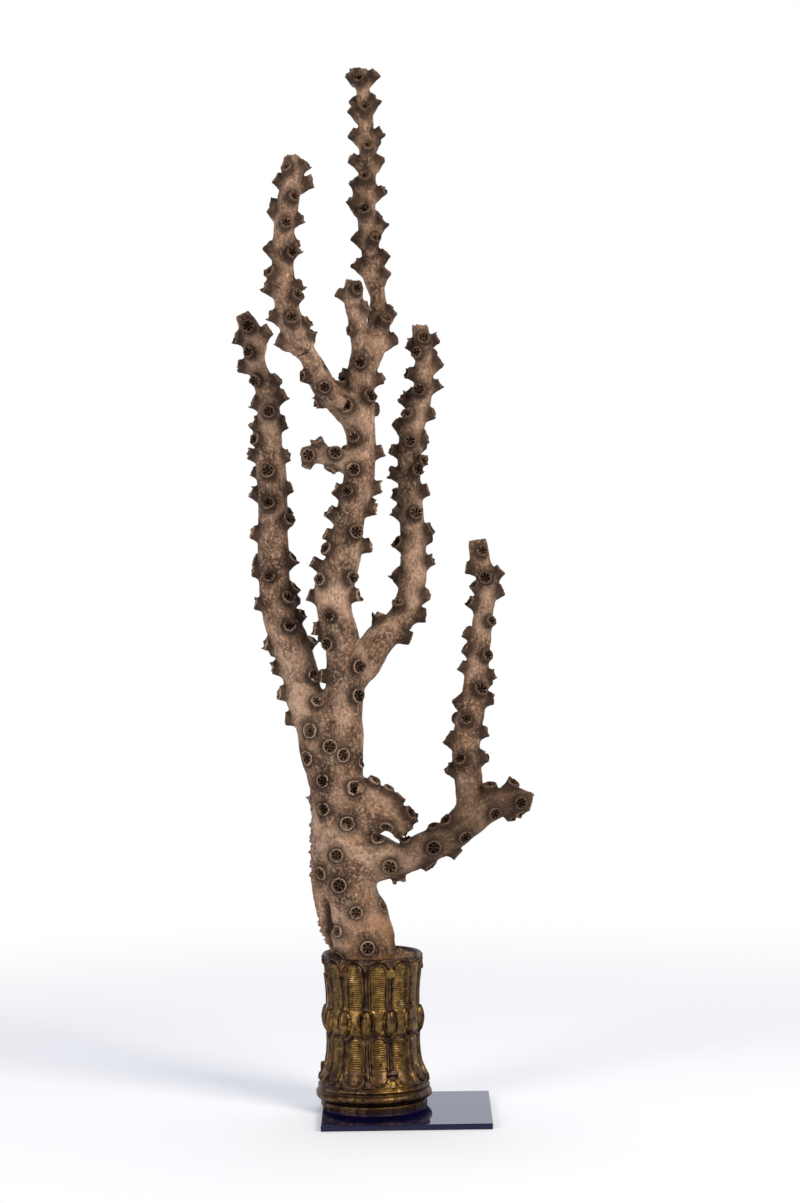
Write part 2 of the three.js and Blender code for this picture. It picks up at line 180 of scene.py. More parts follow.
# path: (x, y, z, radius, depth share) along each branch from its root, as in the CAD, in mm;
# depth share is how deep the branch is from front to back against its width, 1 if left out.
# cups: (distance along the path, turn round it, reach); a turn of 0 faces the front and 90 the
# right of an upward branch. reach is how far the mouth stands out, in mm, and falls back on the
# branch's own; lean is how far the cups lean towards the branch's tip.
COLONY = {
    "coral_trunk": {
        "path": [
            (-23, 18, 36, 13), (-23, 18, 62, 15), (-24, 18, 80, 16.5), (-24, 18, 95, 18),
            (-29, 17, 114, 19.6), (-34, 16, 128, 18.6), (-35, 15, 145, 19.4), (-37, 14, 165, 17.5),
            (-38, 13, 186, 16.6, 0.95), (-40, 13, 200, 16, 0.9), (-42, 13, 215, 18.4, 0.8),
            (-42, 13, 225, 19.5, 0.72), (-42, 13, 233, 19, 0.66),
        ],
        "cups": [
            (57, -55), (60, 88), (64, 10), (78, -35), (82, 70), (86, 10), (104, -10), (112, -45),
            (122, -10), (141, 15, 1.8), (150, -30), (152, -85), (158, 35, 2.2), (166, -25),
            (172, 78), (180, -50), (180, 25), (186, 0), (194, -35), (60, 150), (80, 200),
            (100, 165), (122, 140), (140, 210), (160, 160), (182, 195), (70, 120), (112, 110),
            (132, 178), (150, 130), (172, 230), (95, 250), (120, 240),
        ],
        "reach": 0.9,
        "lean": 0.06,
    },
    "coral_left_branch": {
        "path": [
            (-46, 13, 221, 13), (-56, 14, 244, 10.7), (-60, 17, 262, 10.4), (-66, 20, 280, 11),
            (-71, 22, 297, 10.1), (-74, 24, 321, 9.2), (-74, 25, 347, 8.6), (-75, 26, 377, 8.6),
            (-76, 25, 399, 7.7), (-75, 24, 416, 6.5), (-77, 22, 430, 6.2), (-83, 20, 446, 5.8),
            (-83, 19, 456, 7.1), (-86, 18, 465, 6.4), (-89, 17, 472, 4.6),
        ],
        "cups": [
            (20, -88), (22, 30), (33, -78), (37, 40), (50, -88), (58, 78), (65, -80), (70, 20),
            (76, 88), (88, 35), (88, -80), (93, 85), (103, -12), (106, -82), (111, 80), (128, -88),
            (134, 50), (145, -10), (152, -88), (153, 88), (165, -5), (173, 88), (175, -88),
            (184, -50), (192, -88), (193, 88), (200, 0), (206, -88), (208, 88), (217, 85),
            (222, -30), (230, -88), (236, -20), (246, 75, 4), (248, -80, 4), (253, 5, 3), (45, 165),
            (72, 200), (98, 160), (124, 195), (150, 165), (180, 200), (208, 165), (60, 230),
            (86, 130), (112, 235), (138, 130), (164, 235), (194, 140),
        ],
        "reach": 4.2,
        "lean": 0.45,
    },
    "coral_centre_stem": {
        "path": [
            (-38, 12, 226, 14), (-34, 10, 246, 11.4), (-32, 7, 267, 11.5), (-36, 4, 288, 10.2),
            (-39, 2, 304, 10.6), (-37, 1, 317, 11.2), (-32, 1, 331, 9.7), (-28, 2, 354, 8.5),
            (-23, 3, 375, 9.1), (-21, 4, 396, 8), (-22, 5, 411, 8.8), (-21, 5, 427, 8.2),
            (-19, 5, 443, 8.2), (-19, 4, 450, 7),
        ],
        "cups": [
            (26, 38), (35, -70), (42, 35), (58, -35), (66, -88), (74, -15), (82, -88), (86, 80),
            (92, -40), (98, 35), (98, -85, 6), (110, -60), (116, 88, 6), (119, -88), (121, 25),
            (131, -88), (138, 88), (144, -25), (144, -85), (151, 85), (160, -15), (170, 88),
            (178, -20), (196, -35), (203, 30), (213, 88), (214, -88), (222, -10), (45, 170),
            (72, 195), (100, 160), (128, 200), (156, 170), (184, 195), (206, 165), (58, 225),
            (86, 135), (112, 230), (142, 135), (170, 230), (196, 130),
        ],
        "reach": 4.8,
        "lean": 0.34,
    },
    "coral_shoulder_lobe": {
        "path": [
            (-34, 9, 186, 16, 0.7), (-23, 3, 183, 16.5, 0.6), (-13, -1, 180, 13.5, 0.5),
            (-5, -3, 177, 9.4, 0.5), (0, -4, 170, 6.5, 0.6),
        ],
        "cups": [
            (16, -80, 3), (24, -75, 4), (31, -85, 4), (36, -60, 4), (38, -88, 4), (34, 40, 1.5),
            (20, 200, 1),
        ],
        "reach": 2,
        "lean": 0.3,
    },
    "coral_low_limb": {
        "path": [
            (-31, 12, 149, 17), (-17, 6, 152, 15, 0.8), (-9, 2.5, 151.5, 11.6), (-1, 0, 151.5, 9.2),
            (10, -4, 157.5, 9.2), (27, -7, 166, 9.4), (36, -9, 174, 10), (44, -10, 180, 10),
        ],
        "cups": [
            (29, 15), (30, 88, 3), (47, 85, 3), (56, 5), (60, -80, 2), (64, 88, 4), (73, -55, 2),
            (74, 35), (30, 180), (52, 165), (70, 190), (20, -60, 1), (42, -75, 2), (60, 130),
            (40, 230),
        ],
        "reach": 1.6,
        "lean": 0.25,
    },
    "coral_upright_limb": {
        "path": [
            (42, -8, 183, 9), (40, -6, 194, 8.2), (38, -2, 213, 7.9), (40, 3, 232, 7.7),
            (44, 8, 252, 7.4), (47, 12, 274, 6.2), (50, 15, 296, 5.7), (52, 17, 315, 5.9),
            (48, 18, 327, 5.6), (47, 18, 336, 5.6),
        ],
        "cups": [
            (23, -85), (27, -20), (28, 85), (39, -88), (45, 85), (50, -10), (62, -85), (66, 85, 5),
            (69, 20), (80, 88), (83, -88), (90, 35), (93, -80), (102, -88), (111, 35), (120, -75),
            (129, 88), (131, -60), (136, -5), (138, 88), (146, -88, 5), (153, 15), (40, 170),
            (64, 195), (88, 165), (116, 195), (52, 230), (76, 130), (102, 230), (130, 150),
        ],
        "reach": 4.2,
        "lean": 0.42,
    },
    "coral_limb_end_stub": {
        "path": [
            (46, -10, 181, 9), (59, -14, 187, 7.8), (67, -16, 188, 7), (73, -17, 187, 5.8),
        ],
        "cups": [
            (10, 30, 1), (11, -85, 5), (18, 88, 4), (20, -80, 5), (27, 5, 2), (24, 70, 3),
            (18, 180, 2),
        ],
        "reach": 3.6,
        "lean": 0.5,
    },
    "coral_right_branch": {
        "path": [
            (-30, 12, 257, 9.5), (-20, 18, 269, 10.5), (-12, 23, 280, 8.9), (-4, 27, 287, 8.3),
            (3, 30, 296, 8), (8, 32, 313, 8), (9, 34, 335, 7.3), (8, 35, 356, 7), (7, 34, 380, 6.7),
            (8, 33, 399, 6.7), (12, 32, 415, 6.5), (16, 30, 429, 5.9), (17, 28, 446, 5.6),
            (15, 26, 463, 5),
        ],
        "cups": [
            (37, -80), (42, 70), (54, -30), (56, 88), (66, 70), (76, -88), (85, 88), (95, -60),
            (102, 88), (113, 15), (115, -88), (127, 88), (137, -88), (138, 30), (145, 55),
            (151, -88), (157, 0), (160, 88), (164, -88), (171, -35), (175, 88), (179, -88),
            (188, -15), (191, 88), (197, -88), (203, 75), (211, -30), (215, -88), (217, 88),
            (220, 10, 3), (60, 175), (86, 200), (112, 165), (140, 195), (168, 165), (196, 195),
            (72, 230), (98, 130), (124, 232), (154, 130), (182, 230), (208, 140),
        ],
        "reach": 4.8,
        "lean": 0.5,
    },
    "coral_side_stub": {
        "path": [
            (-22, 2, 383, 7.4), (-30, -6, 387, 6.6), (-41, -13, 391, 5.4), (-53, -18, 392, 4.6),
        ],
        "cups": [
            (24, 25), (20, -80), (38, 0), (31, 85), (30, 180), (37, -85),
        ],
        "reach": 3.4,
        "lean": 0.5,
    },
    "coral_upper_left_root": {
        "path": [
            (-22, 4, 408, 7.6), (-34, -3, 422, 7.3), (-41, -7, 429, 7), (-45, -10, 438, 6.3),
            (-50, -13, 448, 5.6),
        ],
        "cups": [
            (27, -88), (34, 5), (43, -85), (38, 170), (24, 120),
        ],
        "reach": 3.6,
        "lean": 0.5,
    },
    "coral_upper_left_end": {
        "path": [
            (-51, -13, 450, 5.6), (-57, -14, 458, 7.4), (-61, -16, 470, 7), (-63, -17, 482, 7.2),
            (-65, -18, 498, 6.4), (-64, -20, 516, 6), (-62, -21, 532, 6.2), (-58, -22, 551, 5.9),
            (-58, -22, 562, 4.8),
        ],
        "cups": [
            (8, 85), (12, -85), (16, 88, 4), (23, 10), (25, -88), (35, 40), (40, 88), (42, -88),
            (50, -50), (63, 85), (60, 40), (64, -88), (79, 5), (82, 85), (84, -88), (94, 15),
            (102, 85, 6), (103, -88), (110, -30, 4), (112, 75, 4), (30, 170), (56, 195), (76, 165),
            (97, 190), (44, 225), (66, 135), (88, 230),
        ],
        "reach": 4.8,
        "lean": 0.7,
    },
    "coral_front_stub": {
        "path": [
            (-19, 4, 446, 6.6), (-21, 1, 462, 5.4), (-24, -2, 480, 5.3), (-24, -3, 490, 5.2),
        ],
        "cups": [
            (19, -55, 3), (30, 75), (38, -80, 5), (26, 180), (42, 20, 3),
        ],
        "reach": 3.4,
        "lean": 0.6,
    },
    "coral_top_branch": {
        "path": [
            (-17, 6, 444, 7.6), (-11, 13, 459, 7), (-10, 17, 472, 5.9), (-10, 19, 483, 4.6),
            (-13, 20, 495, 5.6), (-14, 22, 513, 5), (-16, 24, 531, 5.6), (-15, 26, 552, 5.3),
            (-15, 27, 569, 4.4), (-16, 28, 588, 4.1), (-17, 28, 605, 3.9), (-18, 28, 615, 4.4),
        ],
        "cups": [
            (16, 88), (24, 25), (31, 85), (52, 80), (60, -88), (64, 88, 6), (74, 25), (76, -85, 6),
            (83, 88), (90, -5), (96, -85, 6), (103, 88), (108, -80), (111, -10), (122, 88),
            (122, -85, 7), (129, 5), (137, 88, 6), (137, -85, 7), (151, 10), (152, -85), (156, 85),
            (168, -10), (171, 80), (173, -85), (50, 175), (76, 190), (98, 165), (120, 190),
            (142, 170), (62, 225), (88, 140), (108, 230), (132, 140), (156, 225),
        ],
        "reach": 5.6,
        "lean": 0.9,
    },
}
NAMES = list(COLONY)
CUP_RADIUS = 3.95  # outside of a mouth
HOLLOW_SHARE = 0.86  # the hollow's radius against the mouth's
SKIN = 0.4  # added to a branch's radius, as the smoothing takes it off again
random = np.random.default_rng(7)


def route(path, step=1.5):
    """A branch's smooth centreline every step mm: places, radii, depth shares and own axes."""
    rows = np.array([list(p) + [1.0] * (5 - len(p)) for p in path])
    rows = np.vstack([2 * rows[0] - rows[1], rows, 2 * rows[-1] - rows[-2]])
    t = np.linspace(0, 1, 24, endpoint=False)[:, None]
    spans = [
        0.5 * (2 * b + (c - a) * t + (2 * a - 5 * b + 4 * c - d) * t**2 + (3 * b - a - 3 * c + d) * t**3)
        for a, b, c, d in zip(rows, rows[1:], rows[2:], rows[3:])
    ]
    fine = np.vstack([*spans, rows[-2][None]])
    along = np.concatenate([[0], np.cumsum(np.linalg.norm(np.diff(fine[:, :3], axis=0), axis=1))])
    stops = np.linspace(0, along[-1], max(int(along[-1] / step), 4) + 1)
    even = np.stack([np.interp(stops, along, fine[:, k]) for k in range(5)], axis=1)
    ahead = np.gradient(even[:, :3], axis=0)
    ahead /= np.linalg.norm(ahead, axis=1, keepdims=True)
    front = np.array([0.0, -1.0, 0.0]) + ahead * ahead[:, 1:2]
    front /= np.linalg.norm(front, axis=1, keepdims=True)
    side = np.cross(ahead, front)
    return {
        "along": stops, "at": even[:, :3], "radius": even[:, 3], "share": even[:, 4],
        "ahead": ahead, "front": front, "side": side,
    }


def tube(line, sides=26):
    """A closed tube on a centreline, a little out of round, with a blunt broken tip."""
    angle = np.arange(sides) * 2 * math.pi / sides
    rings = []
    for i in range(len(line["at"])):
        radius = line["radius"][i] + SKIN
        sway = 3 * angle + line["along"][i] / 17
        lobed = radius * (1 + 0.035 * np.sin(sway) + 0.025 * np.sin(5 * angle))
        deep = (lobed * np.cos(angle) * line["share"][i])[:, None] * line["front"][i]
        wide = (lobed * np.sin(angle))[:, None] * line["side"][i]
        rings.append(line["at"][i] + deep + wide)
    tip = line["at"][-1]
    rim = rings[-1] - tip
    for shrink, beyond in ((0.9, 0.25), (0.6, 0.45)):
        rings.append(tip + rim * shrink + line["ahead"][-1] * beyond * line["radius"][-1])
    verts = np.vstack(rings)
    faces = []
    for r in range(len(rings) - 1):
        for s in range(sides):
            a, b = r * sides + s, r * sides + (s + 1) % sides
            faces.append((a, b, b + sides, a + sides))
    faces.append(tuple(range(sides))[::-1])
    faces.append(tuple(len(verts) - sides + s for s in range(sides)))
    return verts, faces


def joined(name, parts):
    """One object from several (verts, faces) parts."""
    verts, faces, count = [], [], 0
    for v, f in parts:
        verts.append(v)
        faces += [tuple(k + count for k in face) for face in f]
        count += len(v)
    return mesh_object(name, np.vstack(verts), faces)


def settle(thing):
    """Applies every modifier to the mesh."""
    graph = bpy.context.evaluated_depsgraph_get()
    mesh = bpy.data.meshes.new_from_object(thing.evaluated_get(graph))
    thing.modifiers.clear()
    thing.data = mesh
    return thing


lines = {name: route(spec["path"]) for name, spec in COLONY.items()}
colony = joined("colony", [tube(line) for line in lines.values()])
fuse = colony.modifiers.new("fuse", "REMESH")
fuse.mode = "VOXEL"
fuse.voxel_size = 1.2 * MM
ease = colony.modifiers.new("ease", "SMOOTH")
ease.factor = 0.5
ease.iterations = 22
settle(colony)


def cup_places():
    """Where each cup sits: its foot on the branch, its axis, its size and its reach."""
    rows = []
    for name, spec in COLONY.items():
        line = lines[name]
        for place in spec["cups"]:
            along, turn = place[0], math.radians(place[1])
            reach = (place[2] if len(place) > 2 else spec["reach"]) * random.uniform(0.85, 1.15)
            i = int(np.argmin(abs(line["along"] - along)))
            out = line["front"][i] * math.cos(turn) * line["share"][i] + line["side"][i] * math.sin(turn)
            girth = np.linalg.norm(out)
            out = out / girth
            lean = spec["lean"] * random.uniform(0.75, 1.25)
            axis = out + lean * line["ahead"][i] + 0.08 * random.standard_normal(3)
            axis /= np.linalg.norm(axis)
            foot = line["at"][i] + out * line["radius"][i] * girth * 0.97
            size = CUP_RADIUS * random.uniform(0.86, 1.1) * min(0.75 + line["radius"][i] / 30, 1)
            rows.append((foot, axis, size, reach))
    return rows


cups = cup_places()


def lathe(rows, outline, cap_low, cap_high):
    """A closed turned solid from (radius, height, share) rows; a row takes its share of outline."""
    count = len(outline)
    angle = np.arange(count) * 2 * math.pi / count
    ring = np.stack([np.cos(angle), np.sin(angle)], axis=1)
    verts = []
    for radius, height, share in rows:
        reach = radius * (1 - share + share * outline)
        verts.append(np.column_stack([ring * reach[:, None], np.full(count, height)]))
    verts = np.vstack([*verts, [[0, 0, cap_low]], [[0, 0, cap_high]]])
    faces = []
    for k in range(len(rows) - 1):
        for s in range(count):
            a, b = k * count + s, k * count + (s + 1) % count
            faces.append((a, b, b + count, a + count))
    last = (len(rows) - 1) * count
    for s in range(count):
        faces.append(((s + 1) % count, s, len(verts) - 2))
        faces.append((last + s, last + (s + 1) % count, len(verts) - 1))
    return verts, faces


# A cup with a mouth of radius 1 and a reach of 1, as (radius, height) rows: a sunk foot, a
# spreading skirt, a stout wall and a lip.
TRUMPET = [(0.9, -1.2), (1.3, -0.5), (1.18, 0.0), (1.08, 0.25), (1.03, 0.55), (1.05, 0.85), (1.0, 1.0)]


def unit_piece(name, verts, faces):
    """A piece of unit size, to be scaled where it is set."""
    return mesh_object(name, verts / MM, faces)


trumpet = unit_piece("trumpet", *lathe([(r, h, 0) for r, h in TRUMPET], np.ones(20), -1.3, 0.9))
lip = trumpet.data.attributes.new("lip", "FLOAT", "POINT")
lip.data.foreach_set("value", [1.0 if v.co.z > 0.99 else 0.0 for v in trumpet.data.vertices])

# The hollow of a calice: septa are what is left standing between its rays. Six stout ones reach
# the middle, with shorter ones between them, and the floor rises to a small boss.
SEPTA = 24
rays = np.ones(SEPTA * 3)
rays[3::6] = 0.88
rays[6::12] = 0.68
rays[0::12] = 0.28
rays[1::12] = 0.28
HOLLOW = [
    (0.6, -1.0, 1), (0.76, -0.72, 1), (0.83, -0.36, 0.95), (0.85, -0.14, 0.5),
    (HOLLOW_SHARE, -0.04, 0), (HOLLOW_SHARE, 0.9, 0),
]
hollow = unit_piece("hollow", *lathe(HOLLOW, rays, -0.66, 0.9))


def point_cloud(name, rows):
    """Loose points in metres with the axis and scale that a cup's copy takes."""
    thing = mesh_object(name, [at for at, _, _ in rows], [])
    axis = thing.data.attributes.new("axis", "FLOAT_VECTOR", "POINT")
    axis.data.foreach_set("vector", np.array([a for _, a, _ in rows], np.float32).ravel())
    scale = thing.data.attributes.new("scale", "FLOAT_VECTOR", "POINT")
    scale.data.foreach_set("vector", (np.array([s for _, _, s in rows], np.float32) * MM).ravel())
    return thing


def set_on_points():
    """Sets a copy of a piece on each point, along its axis, and roughens the copies' lips."""
    tree = bpy.data.node_groups.new("Pieces set on points", "GeometryNodeTree")
    face = tree.interface
    for name, kind in (
        ("Points", "Geometry"), ("Piece", "Object"), ("Lip raggedness", "Float"), ("Finish", "Material"),
    ):
        face.new_socket(name, in_out="INPUT", socket_type="NodeSocket" + kind)
    face.new_socket("Cups", in_out="OUTPUT", socket_type="NodeSocketGeometry")
    given = add(tree, "NodeGroupInput").outputs
    axis, scale, lip = (
        add(tree, "GeometryNodeInputNamedAttribute", {"Name": name}, data_type=kind).outputs[0]
        for name, kind in (("axis", "FLOAT_VECTOR"), ("scale", "FLOAT_VECTOR"), ("lip", "FLOAT"))
    )
    turned = add(tree, "FunctionNodeAlignRotationToVector", {"Vector": axis}, axis="Z")
    piece = add(tree, "GeometryNodeObjectInfo", {"Object": given["Piece"]})
    copies = add(tree, "GeometryNodeInstanceOnPoints", {
        "Points": given["Points"], "Instance": piece.outputs["Geometry"],
        "Rotation": turned.outputs[0], "Scale": scale,
    })
    real = add(tree, "GeometryNodeRealizeInstances", {"Geometry": copies.outputs[0]})
    # Teeth about 2.4 mm apart, worn down on some of the branches' stretches and kept on others.
    jag = add(tree, "ShaderNodeTexNoise", {"Scale": 420.0, "Detail": 1.0}).outputs[0]
    amount = add(tree, "ShaderNodeMapRange", {"Value": jag, "From Min": 0.48, "From Max": 0.66}).outputs[0]
    worn = add(tree, "ShaderNodeTexNoise", {"Scale": 60.0, "Detail": 0.0}).outputs[0]
    kept = add(tree, "ShaderNodeMapRange", {
        "Value": worn, "From Min": 0.44, "From Max": 0.58, "To Min": 0.15,
    }).outputs[0]
    for factor in (lip, kept, given["Lip raggedness"]):
        amount = add(tree, "ShaderNodeMath", {0: amount, 1: factor}, operation="MULTIPLY").outputs[0]
    normal = add(tree, "GeometryNodeInputNormal").outputs[0]
    spread = add(tree, "ShaderNodeVectorMath", {0: normal, "Scale": 0.35}, operation="SCALE").outputs[0]
    way = add(tree, "ShaderNodeVectorMath", {0: axis, 1: spread}, operation="ADD").outputs[0]
    push = add(tree, "ShaderNodeVectorMath", {0: way, "Scale": amount}, operation="SCALE").outputs[0]
    moved = add(tree, "GeometryNodeSetPosition", {"Geometry": real.outputs[0], "Offset": push})
    finished = add(tree, "GeometryNodeSetMaterial", {
        "Geometry": moved.outputs[0], "Material": given["Finish"],
    })
    add(tree, "NodeGroupOutput", {0: finished.outputs[0]})
    return tree


def run_tree(thing, tree, **values):
    """Runs a node tree on an object with its named inputs and keeps the result as its mesh."""
    step = thing.modifiers.new("grow", "NODES")
    step.node_group = tree
    for socket in tree.interface.items_tree:
        if socket.in_out == "INPUT" and socket.name in values:
            step[socket.identifier] = values[socket.name]
    return settle(thing)


coral_finish = bpy.data.materials.new("Dry coral skeleton, matt brown limestone")
cups_tree = set_on_points()
trumpets = point_cloud("trumpets", [
    (foot, axis, (size, size, reach)) for foot, axis, size, reach in cups
])
run_tree(trumpets, cups_tree, **{
    "Piece": trumpet, "Lip raggedness": 1.7 * MM, "Finish": coral_finish,
})

# The branches end in broken, uneven faces.
chipped = np.array([1.0, 0.86, 1.06, 0.92, 0.8, 1.04, 0.98, 0.84, 1.02, 0.9, 1.08])
STUMP = [(0.9, -1.6, 0.3), (1.02, -0.5, 0.6), (1.04, 0.15, 1), (0.86, 0.55, 1), (0.6, 0.4, 1)]
stump = unit_piece("stump", *lathe(STUMP, chipped, -1.6, 0.3))
lip = stump.data.attributes.new("lip", "FLOAT", "POINT")
lip.data.foreach_set("value", [1.0 if v.co.z > 0.5 else 0.0 for v in stump.data.vertices])
TIPS = [
    "coral_left_branch", "coral_shoulder_lobe", "coral_upright_limb", "coral_limb_end_stub",
    "coral_right_branch", "coral_side_stub", "coral_upper_left_end", "coral_front_stub",
    "coral_top_branch",
]
ends = [lines[name] for name in TIPS]
stumps = point_cloud("stumps", [
    (line["at"][-1], line["ahead"][-1], (line["radius"][-1] * 0.98,) * 3) for line in ends
])
run_tree(stumps, cups_tree, **{
    "Piece": stump, "Lip raggedness": 1.8 * MM, "Finish": coral_finish,
})
bpy.data.objects.remove(stump)


def bore(reach):
    """How deep a cup is hollow."""
    return min(2.3 + 0.3 * reach, 3.4)


hollows = point_cloud("hollows", [
    (foot + axis * reach, axis, (size, size, bore(reach))) for foot, axis, size, reach in cups
])
run_tree(hollows, cups_tree, **{
    "Piece": hollow, "Lip raggedness": 0.0, "Finish": coral_finish,
})

# Cups and branches fuse into one surface.
parts = [colony, trumpets, stumps]
with bpy.context.temp_override(active_object=colony, selected_editable_objects=parts):
    bpy.ops.object.join()
fuse = colony.modifiers.new("fuse", "REMESH")
fuse.mode = "VOXEL"
fuse.voxel_size = 0.84 * MM
ease = colony.modifiers.new("ease", "SMOOTH")
ease.factor = 0.5
ease.iterations = 2
settle(colony)


def coordinates(mesh):
    """A mesh's points as an array, in millimetres."""
    spots = np.empty(len(mesh.vertices) * 3, np.float32)
    mesh.vertices.foreach_get("co", spots)
    return spots.reshape(-1, 3) / MM


REACHED = 35  # mm round a branch in which its points are looked for
BATCH = 20000  # points measured at once
SHIFT = 40  # keeps the grain of one branch from repeating in the next


def grain_of(spots):
    """The branch each point belongs to, and its place across and along that branch, in mm."""
    best = np.full(len(spots), np.inf, np.float32)
    owner = np.zeros(len(spots), np.int32)
    grain = np.zeros((len(spots), 3), np.float32)
    for number, line in enumerate(lines.values()):
        low = line["at"].min(0) - REACHED
        high = line["at"].max(0) + REACHED
        near = np.flatnonzero(((spots > low) & (spots < high)).all(1))
        centre = line["at"].astype(np.float32)
        for batch in np.array_split(near, max(len(near) // BATCH, 1)):
            gap = np.linalg.norm(spots[batch, None] - centre[None, ::2], axis=2)
            gap -= line["radius"][None, ::2]
            step = gap.argmin(1)
            least = gap[np.arange(len(batch)), step]
            win = least < best[batch]
            won = batch[win]
            spot = step[win] * 2
            off = spots[won] - centre[spot]
            best[won] = least[win]
            owner[won] = number
            grain[won, 0] = (off * line["side"][spot]).sum(1)
            grain[won, 1] = (off * line["front"][spot]).sum(1)
            grain[won, 2] = line["along"][spot] + (off * line["ahead"][spot]).sum(1) + SHIFT * number
    return owner, grain


def keep_field(mesh, name, kind, values):
    """Stores a value or a vector at each of a mesh's points."""
    field = mesh.attributes.new(name, kind, "POINT")
    part = "vector" if kind == "FLOAT_VECTOR" else "value"
    field.data.foreach_set(part, values.astype(np.float32).ravel())


def weathered_surface():
    """Swells, knobs and a fine grain along the branch, all pushed along the normal."""
    tree = bpy.data.node_groups.new("Weathered coral surface", "GeometryNodeTree")
    face = tree.interface
    face.new_socket("Body", in_out="INPUT", socket_type="NodeSocketGeometry")
    for name in ("Swell height", "Knob height", "Grain height"):
        face.new_socket(name, in_out="INPUT", socket_type="NodeSocketFloat")
    face.new_socket("Surface", in_out="OUTPUT", socket_type="NodeSocketGeometry")
    given = add(tree, "NodeGroupInput").outputs
    place = add(tree, "GeometryNodeInputPosition").outputs[0]
    grain = add(
        tree, "GeometryNodeInputNamedAttribute", {"Name": "grain"}, data_type="FLOAT_VECTOR"
    ).outputs[0]
    drawn_out = {0: grain, 1: (1.0, 1.0, 0.16)}
    stretched = add(tree, "ShaderNodeVectorMath", drawn_out, operation="MULTIPLY").outputs[0]
    # Swells 18 mm long, knobs of 5 mm, and a grain 1.6 mm wide that is drawn out sixfold.
    total = 0.0
    for vector, scale, name in (
        (place, 55.0, "Swell height"), (place, 210.0, "Knob height"), (stretched, 0.62, "Grain height"),
    ):
        noise = add(tree, "ShaderNodeTexNoise", {"Vector": vector, "Scale": scale, "Detail": 2.0})
        even = add(tree, "ShaderNodeMath", {0: noise.outputs[0], 1: 0.5}, operation="SUBTRACT")
        part = {0: even.outputs[0], 1: given[name], 2: total}
        total = add(tree, "ShaderNodeMath", part, operation="MULTIPLY_ADD").outputs[0]
    normal = add(tree, "GeometryNodeInputNormal").outputs[0]
    push = add(tree, "ShaderNodeVectorMath", {0: normal, "Scale": total}, operation="SCALE").outputs[0]
    moved = add(tree, "GeometryNodeSetPosition", {"Geometry": given["Body"], "Offset": push})
    add(tree, "NodeGroupOutput", {0: moved.outputs[0]})
    return tree


def smooth(value, low, high):
    """0 below low, 1 above high and a soft step between."""
    t = np.clip((value - low) / (high - low), 0, 1)
    return t * t * (3 - 2 * t)


# Low on the trunk's left a dead strip has sunk to a furrow beside a thin raised ridge, and a
# rough scar lies above it.
TRUNK = NAMES.index("coral_trunk")
FURROW_DEPTH = 8


def furrow(owner, grain):
    """Turns from the front, the furrow's strength, and turns from its middle in its own widths."""
    along = grain[:, 2]
    round_turn = np.degrees(np.arctan2(grain[:, 0], grain[:, 1]))
    span = smooth(along, 44, 54) * smooth(-along, -102, -84) * (owner == TRUNK)
    wander = round_turn + 138 - along + 4 * np.sin(along / 5) + 2 * np.sin(along / 1.7)
    return round_turn, span, wander / (7 + 5 * smooth(-along, -68, -55))


spots = coordinates(colony.data)
owner, grain = grain_of(spots)
keep_field(colony.data, "grain", "FLOAT_VECTOR", grain)
along = grain[:, 2]
axis_off = np.hypot(grain[:, 0], grain[:, 1]).clip(1)
round_turn, span, wander = furrow(owner, grain)
ragged = np.sin(along * 0.83) + 0.8 * np.sin(along * 2.1 + 1) + 0.5 * np.sin(along * 3.7)
edge = (2.2 + 0.7 * ragged) * np.exp(-((0.6 * (wander + 3)) ** 2))
dent = edge - FURROW_DEPTH * np.exp(-(wander**2))
scar = smooth(along, 104, 110) * smooth(-along, -158, -140) * np.exp(-(((round_turn + 84) / 16) ** 2))
dent = dent * span + 0.8 * scar * ragged * (owner == TRUNK)
spots[:, 0] += dent * grain[:, 0] / axis_off
spots[:, 1] -= dent * grain[:, 1] / axis_off
colony.data.vertices.foreach_set("co", (spots * MM).astype(np.float32).ravel())
run_tree(colony, weathered_surface(), **{
    "Swell height": 2.4 * MM, "Knob height": 1.0 * MM, "Grain height": 0.7 * MM,
})


# The upper left branch was broken across and set back on: a ragged crack with a chip out of it.
CRACK_RADIUS = 9.5
broken = lines["coral_upper_left_end"]
break_at = broken["at"][0]
break_way = broken["ahead"][0]
crack_outline = np.array([3.0, 9.5, 9.5, 9.5, 9.5, 9.5, 4.0, 9.5, 9.5, 3.2]) / CRACK_RADIUS
crack_rows = [(CRACK_RADIUS, -0.35, 1), (CRACK_RADIUS, 0.45, 1)]
crack = unit_piece("crack", *lathe(crack_rows, crack_outline, -0.3, 0.4))
crack.data.transform(Matrix.Scale(MM, 4))
across = Vector((break_way + [0.25, 0.0, 0.1]).tolist()).to_track_quat("Z", "X")
chip = Matrix.Translation(Vector((break_at + [-3.5, -3.5, 0]).tolist()) * MM)
crack.data.transform(chip @ across.to_matrix().to_4x4())


def carve(thing, tool):
    """Cuts a tool's shape out of an object."""
    cut = thing.modifiers.new("carve", "BOOLEAN")
    cut.operation = "DIFFERENCE"
    cut.solver = "MANIFOLD"
    cut.object = tool
    settle(thing)


for tool in (hollows, crack):
    carve(colony, tool)
for helper in (trumpet, hollow, hollows, crack):
    bpy.data.objects.remove(helper)

spots = coordinates(colony.data)
owner, grain = grain_of(spots)

